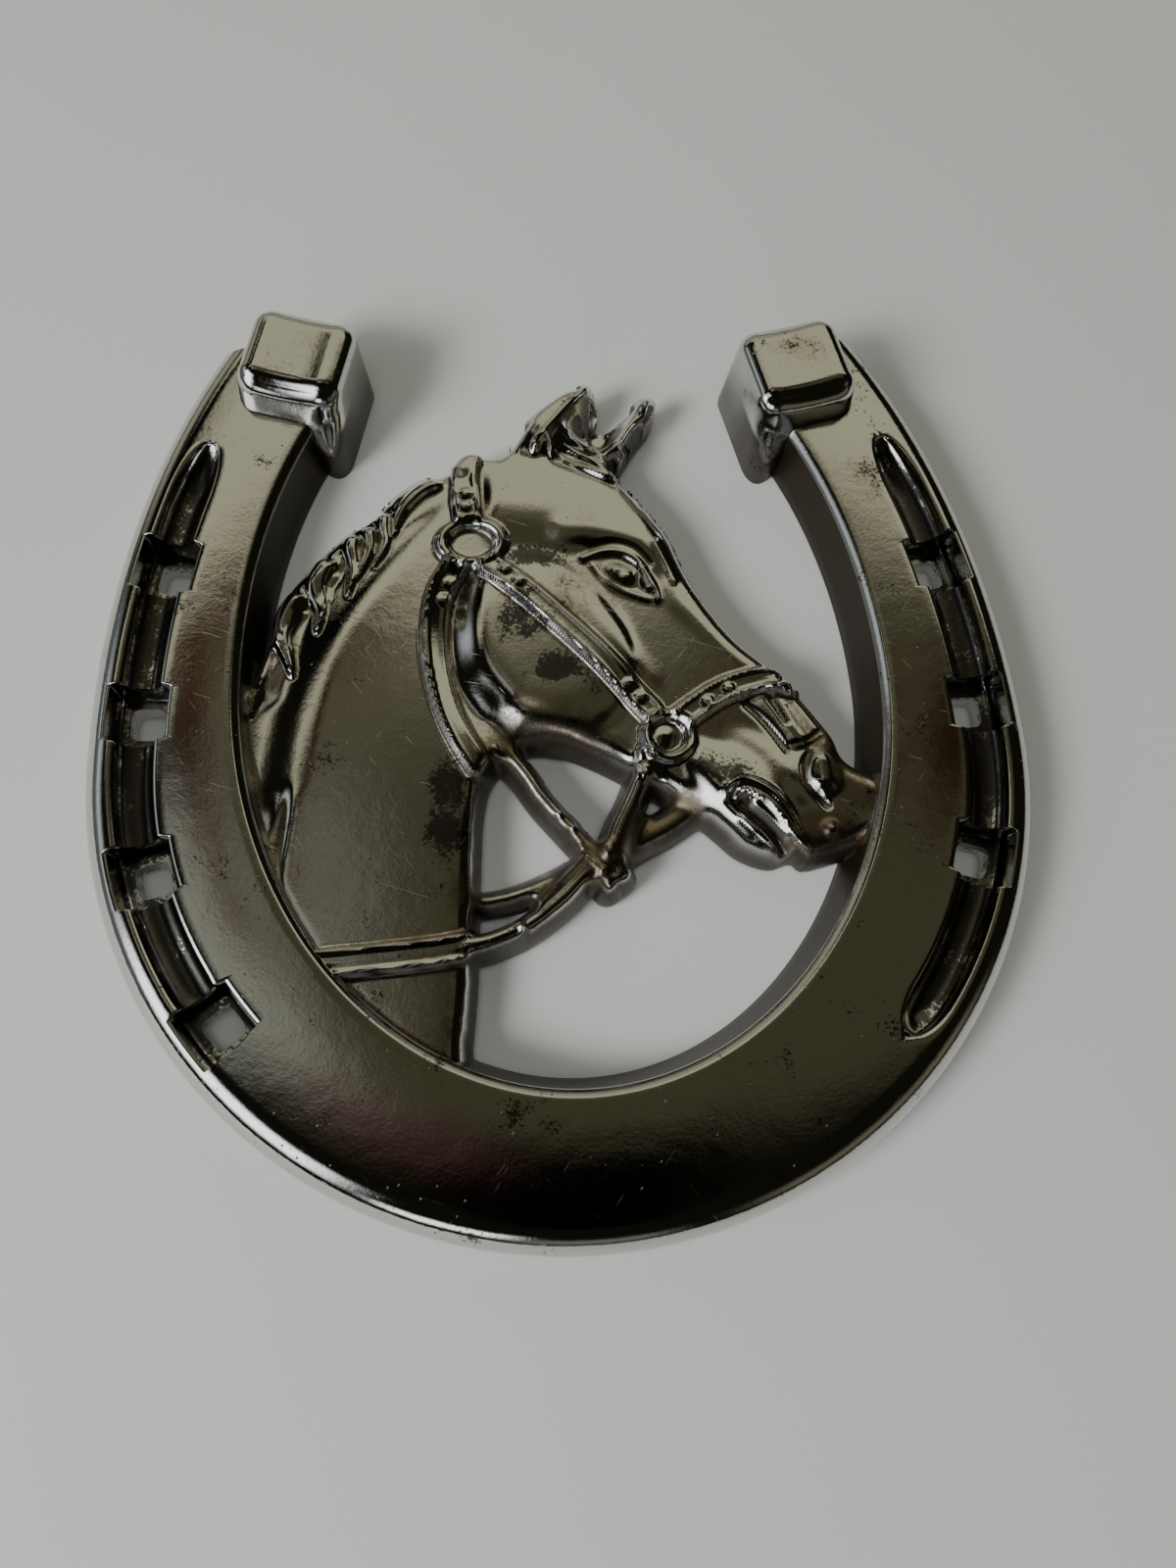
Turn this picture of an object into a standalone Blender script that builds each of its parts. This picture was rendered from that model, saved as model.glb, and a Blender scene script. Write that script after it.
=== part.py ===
"""A lucky horseshoe ornament: a cast, plated horseshoe with a haltered horse's head in relief.

It lies on its flat back. The toe of the shoe points to -Y, the heels to +Y and the relief to +Z.
The sizes below are in millimetres, and MM turns them into Blender's metres.
"""
import math

import bmesh
import bpy
import numpy as np

MM = 0.001

# Shoe, seen from above
SHOE_HALF_WIDTH = 64.4      # widest, from the middle to the outer edge
SHOE_CENTRE_Y = 2.6         # where the outer edge is widest
SHOE_HEEL_REACH = 97.0      # how slowly the branches close in towards the heels
SHOE_HEEL_Y = 66.6          # where the branches are cut off square, just inside the heel blocks
GAP_HALF_WIDTH = 44.0       # widest, from the middle to the inner edge
GAP_CENTRE_Y = 12.0         # where the inner edge is widest
GAP_TOE_DEPTH = 54.2
GAP_HEEL_REACH = 65.0

# Shoe, seen in section
SHOE_THICKNESS = 9.5
SHOULDER_WIDTH = 4.2
SHOULDER_HEIGHT = 4.6
CROWN = 0.5                 # how far the face rises between its two edges
EDGE_CHAMFER = 0.9
INNER_DRAFT = 1.8           # how far the inner wall leans out on its way down
FOOT_STEP = 0.4

# Nail groove, its pockets and their holes
GROOVE_INSET = 7.1          # from the outer edge to the groove's middle
GROOVE_WIDTH = 5.4
GROOVE_DEPTH = 2.9
GROOVE_TAPER = 7.0          # length of a groove's pointed end
WALL_LEAN = 0.6
POCKET_WIDTH = 8.0
POCKET_LENGTH = 7.8
POCKET_DEPTH = 5.6
HOLE_WIDTH = 4.6
HOLE_CORNER = 1.0
NAIL_PITCH = 22.0
LEFT_FIRST_NAIL = 53.2      # along the groove's middle line, from the toe
LEFT_NAILS = 4
LEFT_GROOVE_END = 139.0
RIGHT_FIRST_NAIL = 72.2
RIGHT_NAILS = 3
RIGHT_GROOVE_START = 45.1
RIGHT_GROOVE_END = 137.7

# Heel blocks
HEEL_HEIGHT = 15.6
HEEL_LENGTH = 15.3
HEEL_WIDTH = 15.8
HEEL_ROUNDING = 2.4
HEEL_TOP_WIDTH = 14.8
HEEL_TOP_LENGTH = 14.8
HEEL_SADDLE = 0.9           # how far the top dips along its middle
HEEL_BULGE = 0.8            # how far the foot swells into the gap
HEEL_SPREAD = 3.0           # how far the foot's inner half reaches towards the toe
HEELS = {                   # centre and turn in degrees of the left and the right block
    -1.0: ((-35.4, 61.4), -15.0),
    1.0: ((36.6, 58.5), 12.5),
}

# Figure: the head, neck and halter sit in the gap. Their points are in hundredths of the
# figure's own height, which follows from the gap it has to bridge.
FIGURE_HEIGHT = 2.2727 * GAP_HALF_WIDTH
FIGURE_FOOT = 42.2          # how far the figure's points reach below its origin
BACK_RISE = 1.0             # the figure's back stays this far above the shoe's back
EMBED = 3.0                 # how deep the figure's foot runs into the shoe
NECK_TOP = 6.4
HEAD_TOP = 7.2
FIGURE_EDGE = 2.4           # height of the figure's rim, where its sides come down
SIDE_WIDTH = 3.2            # how far in from the rim the sides reach
EAR_TOP = 7.6
STRAP_WIDTH = 3.7
STRAP_RISE = 1.1
FREE_STRAP_WIDTH = 3.9
FREE_STRAP_TOP = 7.4
THIN_STRAP_WIDTH = 3.1
THIN_STRAP_TOP = 5.3
LEAD_TOP = 7.8
STRAP_EDGE = 2.8
STRAP_BACK = 1.5            # underside of the free straps
JOINT_TOP = 8.6
RING_RADIUS = 4.1
RING_WIRE = 1.0
RIVET_RADIUS = 0.8
RIVET_RISE = 0.6

# Fineness of the solid
GRID_STEP = 1.4
STATION_STEP = 5.0

# The outline of head and neck, from the neck's foot round the muzzle and the ears to the mane
THROAT = [(-14.6, -36.0), (-13.6, -27.5), (-12.8, -14.5), (-11.9, -4.3), (-10.0, 0.5), (-6.1, 3.5), (-1.3, 3.3),
          (4.0, 1.0), (11.5, -3.6), (16.7, -7.2), (21.4, -11.2), (23.9, -13.2), (27.7, -14.3), (32.2, -14.5)]
PROFILE = [(39.3, 0.0), (37.6, 4.2), (33.1, 11.2), (29.3, 15.5), (24.9, 20.1), (20.0, 28.4), (16.6, 36.8), (9.5, 46.8)]
FAR_EAR = [(10.7, 48.4), (13.4, 52.6), (15.7, 55.5), (16.5, 57.9), (15.9, 59.3), (13.8, 58.7), (11.0, 56.6),
           (7.9, 55.4)]
NEAR_EAR = [(7.6, 57.4), (6.9, 60.5), (5.8, 61.1), (3.8, 60.1), (0.3, 58.1), (-2.5, 56.1), (-4.7, 52.9),
            (-8.3, 49.6)]
CREST = [(-12.7, 50.0), (-15.9, 47.5), (-19.1, 46.9), (-23.0, 44.4), (-26.6, 40.9), (-30.3, 38.3), (-34.1, 34.8),
         (-38.2, 30.2), (-40.6, 26.5), (-41.6, 21.0), (-44.5, 14.6)]
JAW = [(-11.5, 49.0), (-13.0, 40.6), (-14.6, 31.9), (-15.5, 21.2), (-12.9, 11.1), (-5.4, 4.6), (-0.1, 2.7)]

# The halter: middle lines of its straps, its rings and its rivets
CROWN_STRAP = [(-11.8, 37.5), (-12.4, 42.4), (-12.8, 45.6), (-11.8, 49.6)]
CHEEK_STRAP = [(-10.0, 30.8), (-4.4, 25.1), (3.3, 16.8), (8.3, 11.2), (11.3, 7.8)]
NOSE_BAND = [(15.9, 6.4), (20.2, 9.0), (24.7, 10.6), (28.6, 11.4), (31.8, 10.6)]
THROAT_STRAP = [(-14.0, 31.6), (-16.4, 27.0), (-17.6, 21.0), (-17.9, 15.2), (-16.9, 9.1), (-14.6, 4.0), (-11.4, 0.0)]
FREE_THROAT_STRAP = [(-11.4, 6.0), (-6.9, 1.1), (-4.0, -3.5), (-0.7, -7.7), (3.9, -13.4)]
CHIN_STRAP = [(12.4, 4.2), (10.0, -0.7), (8.5, -4.4), (6.6, -8.1), (3.9, -13.4)]
UNDER_CHIN_STRAP = [(4.4, -12.4), (9.6, -9.3), (13.0, -7.3), (17.6, -4.0)]
LEAD = [(3.9, -13.6), (-0.7, -16.7), (-4.0, -19.0), (-7.9, -21.2), (-11.8, -22.8), (-16.8, -24.0), (-23.0, -24.5),
        (-35.3, -25.0)]
LEAD_BACK = [(-15.5, -17.6), (-9.7, -17.2), (-5.7, -15.7), (1.0, -12.7)]
RINGS = [(-12.1, 33.6), (13.4, 3.7)]
RIVETS = [(-12.6, 41.4), (-12.7, 39.3), (-7.8, 29.8), (-5.6, 27.5), (-15.3, 27.8), (-16.0, 25.2), (8.7, 11.8),
          (10.3, 9.6), (19.7, 8.6), (22.7, 10.1)]
LOCK_ROOTS = [(-39.4, 26.6), (-35.4, 32.0), (-30.9, 36.6), (-26.0, 39.8), (-21.4, 43.6)]
LOCK_TIPS = [(-37.6, 15.4), (-34.5, 22.4), (-29.7, 27.6), (-26.3, 31.7), (-24.0, 36.2)]
LOCK_WIDTH = 2.6
LOCK_RISE = 1.7
LOCK_SWAY = 1.1

# Soft ridges and, with a height below zero, hollows: middle line, reach to either side, height
NECK_FORMS = {
    "column": ([(-20.0, 40.0), (-24.0, 18.0), (-24.0, -6.0), (-22.0, -36.0)], 17.0, 1.2),
    "shoulder": ([(-39.5, 2.0), (-33.0, -18.0), (-20.0, -34.0)], 9.0, -1.2),
}
HEAD_FORMS = {
    "cheek": ([(-4.0, 18.0), (-1.0, 13.0)], 13.0, 2.6),
    "forehead": ([(-2.0, 44.0), (8.0, 38.0)], 9.0, 0.9),
    "brow": ([(1.1, 35.5), (6.0, 35.2), (10.8, 33.6), (13.7, 30.7), (15.6, 27.0)], 2.6, 1.3),
    "eye socket": ([(4.6, 30.2), (8.4, 29.0), (12.4, 25.6)], 3.2, -1.3),
    "eyeball": ([(8.4, 29.3), (9.4, 28.6)], 2.2, 1.9),
    "cheekbone": ([(4.7, 24.9), (8.9, 17.4), (11.7, 12.0)], 2.4, 0.8),
    "nasal hollow": ([(12.3, 21.1), (17.3, 17.9), (22.7, 13.6)], 3.4, -1.3),
    "nasal bone": ([(16.0, 24.0), (24.0, 16.0)], 3.4, 0.7),
    "muzzle": ([(22.5, -1.0), (27.5, -2.5)], 8.5, 1.5),
    "nostril": ([(22.8, -6.0), (25.4, -9.0), (28.2, -12.4)], 1.9, -2.4),
    "nostril rim": ([(21.0, -4.6), (25.0, -3.0), (28.4, -5.9), (30.6, -10.5)], 1.6, 1.1),
    "temple": ([(-3.6, 37.8), (-3.4, 37.6)], 2.6, -0.9),
    "lip": ([(32.6, 0.4), (33.2, -3.6), (34.4, -6.6)], 1.5, -1.0),
}
EAR_ROLLS = [([(-3.4, 50.8), (1.0, 55.0), (5.2, 59.6)], 7.4, 0.0),
             ([(10.2, 50.0), (12.4, 54.0), (15.2, 58.0)], 6.0, -2.2)]
EAR_HOLLOWS = [([(2.6, 51.8), (4.6, 55.4), (6.4, 58.8)], 2.2, -2.6),
               ([(7.6, 51.4), (10.5, 54.2), (13.7, 57.3)], 2.0, -1.6)]
EAR_FOOT = (47.0, 51.5)     # the ears grow out of the head between these heights


def smooth(low, high, value):
    """Go from 0 at low to 1 at high without a corner."""
    share = np.clip((value - low) / (high - low), 0.0, 1.0)
    return share * share * (3.0 - 2.0 * share)


def rounded(depth, reach):
    """A quarter round: 0 at an edge, 1 from reach inwards."""
    share = np.clip(depth / reach, 0.0, 1.0)
    return np.sqrt(1.0 - (1.0 - share) ** 2)


def spline(points, closed=False, parts=4):
    """A smooth line through the points."""
    given = np.array(points, dtype=float)
    count = len(given)
    spans = count if closed else count - 1
    line = []
    for span in range(spans):
        if closed:
            a, b, c, d = (given[(span + k) % count] for k in (-1, 0, 1, 2))
        else:
            b = given[span]
            c = given[span + 1]
            a = given[span - 1] if span > 0 else 2.0 * b - c
            d = given[span + 2] if span + 2 < count else 2.0 * c - b
        for part in range(parts):
            t = part / parts
            line.append(0.5 * (2.0 * b + (c - a) * t + (2.0 * a - 5.0 * b + 4.0 * c - d) * t ** 2
                               + (3.0 * b - a - 3.0 * c + d) * t ** 3))
    if not closed:
        line.append(given[-1])
    return np.array(line)


def line_distance(x, y, line):
    """Distance of each place to an open line, and how far along the line it lies, from 0 to 1."""
    best = np.full(x.shape, 1.0e9)
    along = np.zeros(x.shape)
    lengths = np.hypot(*np.diff(line, axis=0).T)
    done = 0.0
    for start, end, length in zip(line[:-1], line[1:], lengths):
        step = (end - start) / max(length, 1.0e-9)
        run = np.clip((x - start[0]) * step[0] + (y - start[1]) * step[1], 0.0, length)
        away = np.hypot(x - start[0] - run * step[0], y - start[1] - run * step[1])
        nearer = away < best
        best = np.where(nearer, away, best)
        along = np.where(nearer, (done + run) / lengths.sum(), along)
        done += length
    return best, along


def depth_inside(x, y, outline):
    """Distance to a closed outline, above zero inside it."""
    ring = np.vstack([outline, outline[:1]])
    away, _ = line_distance(x, y, ring)
    inside = np.zeros(x.shape, dtype=bool)
    for start, end in zip(ring[:-1], ring[1:]):
        if start[1] != end[1]:
            crosses = (start[1] > y) != (end[1] > y)
            inside ^= crosses & (x < (end[0] - start[0]) * (y - start[1]) / (end[1] - start[1]) + start[0])
    return np.where(inside, away, -away)


def outer_edge(angle):
    """A point of the shoe's outer edge and the way inwards from it. The toe is at angle 0."""
    reach = SHOE_HALF_WIDTH if math.cos(angle) > 0.0 else SHOE_HEEL_REACH
    point = np.array([SHOE_HALF_WIDTH * math.sin(angle), SHOE_CENTRE_Y - reach * math.cos(angle)])
    inward = np.array([-reach * math.sin(angle), SHOE_HALF_WIDTH * math.cos(angle)])
    return point, inward / np.hypot(*inward)


def gap_edge(angle, outwards=0.0):
    """A point of the shoe's inner edge, or one moved outwards from it into the shoe."""
    reach = GAP_TOE_DEPTH if math.cos(angle) > 0.0 else GAP_HEEL_REACH
    outward = np.array([reach * math.sin(angle), -GAP_HALF_WIDTH * math.cos(angle)])
    point = np.array([GAP_HALF_WIDTH * math.sin(angle), GAP_CENTRE_Y - reach * math.cos(angle)])
    return point + outwards * outward / np.hypot(*outward)


def band_width(point, inward):
    """Width of the shoe from an outer point straight across to the inner edge."""
    near, far = 0.0, SHOE_HALF_WIDTH
    for _ in range(40):
        middle = 0.5 * (near + far)
        x, y = point + middle * inward
        reach = GAP_TOE_DEPTH if y < GAP_CENTRE_Y else GAP_HEEL_REACH
        if (x / GAP_HALF_WIDTH) ** 2 + ((y - GAP_CENTRE_Y) / reach) ** 2 < 1.0:
            far = middle
        else:
            near = middle
    return near


def groove_line():
    """Angles along the shoe and the lengths of the groove's middle line up to them, from the toe."""
    last = math.acos((SHOE_CENTRE_Y - SHOE_HEEL_Y - 0.6 * SHOULDER_WIDTH) / SHOE_HEEL_REACH)
    angles = np.linspace(0.0, last, 400)
    middle = np.array([outer_edge(a)[0] + GROOVE_INSET * outer_edge(a)[1] for a in angles])
    lengths = np.concatenate([[0.0], np.cumsum(np.hypot(*np.diff(middle, axis=0).T))])
    return angles, lengths


def channel(run, first, count, start, end):
    """Half width and depth of the nail groove or its pockets at a length along the branch."""
    for nail in range(count):
        if abs(run - first - nail * NAIL_PITCH) < POCKET_LENGTH / 2.0 + 0.01:
            return POCKET_WIDTH / 2.0, POCKET_DEPTH
    if not start < run < end:
        return GROOVE_WIDTH / 2.0, 0.0
    share = math.sqrt(min(1.0, (end - run) / GROOVE_TAPER, (run - start + 0.5) / GROOVE_TAPER))
    return share * GROOVE_WIDTH / 2.0, share * GROOVE_DEPTH


def face_height(across, width):
    """Height of the shoe's face at a distance from its outer edge."""
    shoulder = SHOE_THICKNESS - SHOULDER_HEIGHT - CROWN + SHOULDER_HEIGHT * rounded(across, SHOULDER_WIDTH)
    middle = (across - SHOULDER_WIDTH) / (width - SHOULDER_WIDTH)
    return shoulder + CROWN * math.sin(math.pi * min(max(middle, 0.0), 1.0) ** 0.8)


def section(width, half_width, depth):
    """The shoe's section as distances from the outer edge and heights, from outer foot to inner foot."""
    left = GROOVE_INSET - half_width
    right = GROOVE_INSET + half_width
    lean = min(WALL_LEAN, 0.4 * half_width)
    shoulder_foot = SHOE_THICKNESS - SHOULDER_HEIGHT - CROWN
    floor = face_height(GROOVE_INSET, width) - depth
    floor_left = floor if depth > 0.0 else face_height(left + lean, width)
    floor_right = floor if depth > 0.0 else face_height(right - lean, width)
    rim = width - EDGE_CHAMFER
    middle = 0.5 * (right + rim)
    return [(FOOT_STEP, 0.0), (0.0, FOOT_STEP), (0.0, shoulder_foot),
            (0.3 * left, face_height(0.3 * left, width)), (left, face_height(left, width)),
            (left + lean, floor_left), (right - lean, floor_right), (right, face_height(right, width)),
            (middle, face_height(middle, width)), (rim, face_height(rim, width)),
            (width, SHOE_THICKNESS - CROWN - EDGE_CHAMFER), (width + INNER_DRAFT, 0.0)]


def stations(first, count, start, end, total):
    """Lengths along a branch at which the shoe's section is placed: closer where the groove changes."""
    places = list(np.arange(0.0, total, STATION_STEP))
    for nail in range(count):
        middle = first + nail * NAIL_PITCH
        for side in (-1.0, 1.0):
            places += [middle + side * POCKET_LENGTH / 2.0, middle + side * (POCKET_LENGTH / 2.0 + WALL_LEAN)]
    places += [end, end - 1.2, end - 0.5 * GROOVE_TAPER, total]
    if start > 0.0:
        places += [start, start + 1.2, start + 0.5 * GROOVE_TAPER]
    kept = []
    for place in sorted(places):
        if not kept or place - kept[-1] > 0.35:
            kept.append(place)
    return kept


def add_strip_face(bm, row, next_row, place):
    bm.faces.new((row[place], row[place + 1], next_row[place + 1], next_row[place]))


def build_shoe():
    """The horseshoe's bar: sections along both branches, joined at the toe."""
    angles, lengths = groove_line()
    branches = [(-1.0, LEFT_FIRST_NAIL, LEFT_NAILS, LEFT_FIRST_NAIL, LEFT_GROOVE_END),
                (1.0, RIGHT_FIRST_NAIL, RIGHT_NAILS, RIGHT_GROOVE_START, RIGHT_GROOVE_END)]
    rings = []
    for side, first, count, start, end in branches:
        places = stations(first, count, start, end, lengths[-1])
        branch = []
        for run in places:
            angle = side * float(np.interp(run, lengths, angles))
            point, inward = outer_edge(angle)
            width = band_width(point, inward)
            half_width, depth = channel(run, first, count, start, end)
            branch.append([(*(point + across * inward), height)
                           for across, height in section(width, half_width, depth)])
        rings = branch[::-1] if side < 0.0 else rings + branch[1:]
    bm = bmesh.new()
    rows = []
    for ring in rings:
        verts = [bm.verts.new([MM * value for value in place]) for place in ring]
        rows.append(verts)
    for row, next_row in zip(rows[:-1], rows[1:]):
        loop = row + row[:1]
        next_loop = next_row + next_row[:1]
        for place in range(len(row)):
            add_strip_face(bm, loop, next_loop, place)
    for row in (rows[0], rows[-1]):
        bm.faces.new(row)
    geometry = bm.verts[:] + bm.edges[:] + bm.faces[:]
    cut = bmesh.ops.bisect_plane(bm, geom=geometry, plane_co=(0.0, MM * SHOE_HEEL_Y, 0.0), plane_no=(0.0, 1.0, 0.0),
                                 clear_outer=True)
    rim = [part for part in cut["geom_cut"] if isinstance(part, bmesh.types.BMEdge)]
    bmesh.ops.holes_fill(bm, edges=rim, sides=0)
    bmesh.ops.triangulate(bm, faces=[f for f in bm.faces if len(f.verts) > 4])
    bmesh.ops.recalc_face_normals(bm, faces=bm.faces)
    return bm


def nail_holes():
    """Places of the nail holes and the way inwards at each."""
    angles, lengths = groove_line()
    holes = []
    for side, first, count in ((-1.0, LEFT_FIRST_NAIL, LEFT_NAILS), (1.0, RIGHT_FIRST_NAIL, RIGHT_NAILS)):
        for nail in range(count):
            angle = side * float(np.interp(first + nail * NAIL_PITCH, lengths, angles))
            point, inward = outer_edge(angle)
            holes.append((point + GROOVE_INSET * inward, inward))
    return holes


def build_hole_cutters():
    """Square punches with cut corners, one through each nail pocket."""
    half = HOLE_WIDTH / 2.0
    corner = half - HOLE_CORNER
    outline = [(half, corner), (corner, half), (-corner, half), (-half, corner),
               (-half, -corner), (-corner, -half), (corner, -half), (half, -corner)]
    bm = bmesh.new()
    for centre, inward in nail_holes():
        along = np.array([-inward[1], inward[0]])
        corners = [centre + a * inward + b * along for a, b in outline]
        base = bm.faces.new([bm.verts.new((MM * x, MM * y, -MM)) for x, y in corners])
        grown = bmesh.ops.extrude_face_region(bm, geom=[base])
        top = [part for part in grown["geom"] if isinstance(part, bmesh.types.BMVert)]
        bmesh.ops.translate(bm, verts=top, vec=(0.0, 0.0, MM * (SHOE_THICKNESS + 2.0)))
    bmesh.ops.recalc_face_normals(bm, faces=bm.faces)
    return bm


def build_heel(side):
    """A turned-up heel: a rounded block with a dipped top that swells into the gap at its foot."""
    centre, degrees = HEELS[side]
    turn = math.radians(degrees)
    bm = bmesh.new()
    bmesh.ops.create_cube(bm, size=2.0)
    bmesh.ops.subdivide_edges(bm, edges=bm.edges, cuts=5, use_grid_fill=True)
    for vert in bm.verts:
        a, b, c = (math.copysign(abs(value) ** 0.6, value) for value in vert.co)
        height = 0.5 * (c + 1.0) * HEEL_HEIGHT
        rise = height / HEEL_HEIGHT
        half_width = 0.5 * (HEEL_WIDTH + (HEEL_TOP_WIDTH - HEEL_WIDTH) * rise)
        half_length = 0.5 * (HEEL_LENGTH + (HEEL_TOP_LENGTH - HEEL_LENGTH) * rise)
        corner = np.array([a * half_width, b * half_length, height])
        reach = np.array([half_width, half_length, HEEL_HEIGHT]) - HEEL_ROUNDING
        core = np.clip(corner, -reach, reach)
        ball = corner - core
        x, y, height = core + ball / max(np.linalg.norm(ball) / HEEL_ROUNDING, 1.0)
        inner = smooth(0.0, half_width, -side * x)
        x -= side * HEEL_BULGE * (1.0 - rise) * inner
        y -= HEEL_SPREAD * inner * smooth(0.0, half_length, -y) * (1.0 - smooth(0.3, 0.7, rise))
        height -= HEEL_SADDLE * rise ** 4 * (1.0 - (x / half_width) ** 2)
        vert.co = [MM * (centre[0] + x * math.cos(turn) - y * math.sin(turn)),
                   MM * (centre[1] + x * math.sin(turn) + y * math.cos(turn)), MM * height]
    return bm


def body_outline():
    """Outline of head and neck; its foot and muzzle run into the shoe."""
    foot = [gap_edge(math.radians(a), EMBED) for a in range(-94, -18, 15)]
    muzzle = [gap_edge(math.radians(a), EMBED) for a in (66, 74)]
    points = THROAT + [tuple(p) for p in muzzle] + PROFILE + FAR_EAR + NEAR_EAR + CREST + [tuple(p) for p in foot]
    return spline(points, closed=True, parts=3)


def head_outline():
    """Outline of the head alone, back to the jaw's edge."""
    muzzle = [gap_edge(math.radians(a), EMBED) for a in (66, 74)]
    points = JAW + THROAT[8:] + [tuple(p) for p in muzzle] + PROFILE + [(4.0, 52.0), (-4.7, 51.5)]
    return spline(points, closed=True, parts=3)


def bump(x, y, points, radius, height, end_radius=None):
    """A soft ridge along a line, or a soft hollow where the height is below zero."""
    away, along = line_distance(x, y, spline(points) if len(points) > 2 else np.array(points, dtype=float))
    reach = radius if end_radius is None else radius + (end_radius - radius) * along
    return height * (1.0 - smooth(0.0, 1.0, away / reach))


def band(x, y, points, width, soft=0.7):
    """1 on a strap, 0 off it, with a soft edge."""
    away, _ = line_distance(x, y, spline(points))
    return 1.0 - smooth(width / 2.0 - soft, width / 2.0 + soft / 3.0, away)


def roll(x, y, points, width, top, edge):
    """Height of a round-backed form along a line."""
    away, _ = line_distance(x, y, spline(points))
    return edge + (top - edge) * rounded(width / 2.0 - away, width / 2.0)


def add_forms(x, y, height, forms):
    """Lay each soft ridge or hollow on the height."""
    for points, reach, rise in forms:
        height = height + bump(x, y, points, reach, rise)
    return height


def carve_neck(x, y, depth):
    """The neck: a long soft column that sinks towards the shoe and rolls over at its edges."""
    height = FIGURE_EDGE + (NECK_TOP - FIGURE_EDGE) * rounded(depth, SIDE_WIDTH)
    height = add_forms(x, y, height, NECK_FORMS.values())
    for root, tip in zip(LOCK_ROOTS, LOCK_TIPS):
        height += carve_lock(x, y, np.array(root), np.array(tip))
    return height


def carve_lock(x, y, root, tip):
    """One lock of the mane: an S that thins to its tip, with a groove beside its upper half."""
    run = tip - root
    across = np.array([-run[1], run[0]]) / np.hypot(*run)
    quarters = [0.25 * step for step in range(5)]
    line = [root + t * run + LOCK_SWAY * math.sin(math.tau * t) * across for t in quarters]
    lock = bump(x, y, line, LOCK_WIDTH, LOCK_RISE, 0.35 * LOCK_WIDTH)
    beside = [place + (1.0 - t) * 0.85 * LOCK_WIDTH * across for t, place in zip(quarters, line)]
    return lock + bump(x, y, beside[:3], 0.4 * LOCK_WIDTH, -0.4 * LOCK_RISE)


def carve_head(x, y, depth):
    """The head: cheek, brow, eye, nasal bone and muzzle."""
    height = FIGURE_EDGE + (HEAD_TOP - FIGURE_EDGE) * rounded(depth, SIDE_WIDTH) + rounded(depth, 3.0 * SIDE_WIDTH)
    return add_forms(x, y, height, HEAD_FORMS.values())


def carve_ears(x, y, height):
    """Near ear with its open side towards the brow, and the far ear behind it."""
    rolls = [roll(x, y, points, width, EAR_TOP + drop, FIGURE_EDGE + 1.0) for points, width, drop in EAR_ROLLS]
    ears = add_forms(x, y, np.maximum(*rolls), EAR_HOLLOWS)
    blend = smooth(*EAR_FOOT, y + 0.35 * x)
    return height * (1.0 - blend) + ears * blend


def carve_halter(x, y, height):
    """Straps, rings and rivets laid on the head and neck."""
    straps = np.maximum(band(x, y, CROWN_STRAP, STRAP_WIDTH), band(x, y, CHEEK_STRAP, STRAP_WIDTH))
    straps = np.maximum(straps, band(x, y, NOSE_BAND, STRAP_WIDTH))
    straps = np.maximum(straps, band(x, y, THROAT_STRAP, STRAP_WIDTH))
    straps = np.maximum(straps, band(x, y, LEAD[3:], FREE_STRAP_WIDTH))
    height = height + STRAP_RISE * straps
    for centre in RINGS:
        away = np.hypot(x - centre[0], y - centre[1])
        wire = 1.0 - smooth(0.4 * RING_WIRE, 1.5 * RING_WIRE, abs(away - RING_RADIUS + RING_WIRE))
        dish = 1.0 - smooth(0.3 * RING_RADIUS, RING_RADIUS - RING_WIRE, away)
        height += STRAP_RISE * (1.2 * wire - 0.6 * dish)
    for centre in RIVETS:
        away = np.hypot(x - centre[0], y - centre[1])
        height += RIVET_RISE * (1.0 - smooth(RIVET_RADIUS * 0.5, RIVET_RADIUS * 1.4, away))
    return height


def carve_figure(x, y):
    """Height of the whole figure at each place, and how far inside its outline each place is."""
    body_depth = depth_inside(x, y, body_outline())
    head_depth = depth_inside(x, y, head_outline())
    neck = carve_neck(x, y, body_depth)
    head = carve_head(x, y, head_depth)
    share = smooth(-0.4, 0.8, head_depth)
    height = neck * (1.0 - share) + np.maximum(head, neck) * share
    height = carve_ears(x, y, height)
    height = carve_halter(x, y, height)
    return height, body_depth


def figure_scale(x, y):
    """Figure points in millimetres: the head grows with the figure's height, the foot with the gap."""
    unit = FIGURE_HEIGHT / 100.0
    below = (GAP_TOE_DEPTH - GAP_CENTRE_Y) / FIGURE_FOOT
    return x * unit, np.where(y < 0.0, y * below, y * unit)


def part_pinches(bm):
    """Where cells meet only at a corner, take the cells there away, so that the rim is a plain loop."""
    pinched = [vert for vert in bm.verts if sum(edge.is_boundary for edge in vert.link_edges) > 2]
    while pinched:
        cells = {face for vert in pinched for face in vert.link_faces}
        bmesh.ops.delete(bm, geom=list(cells), context="FACES")
        pinched = [vert for vert in bm.verts if sum(edge.is_boundary for edge in vert.link_edges) > 2]


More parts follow.
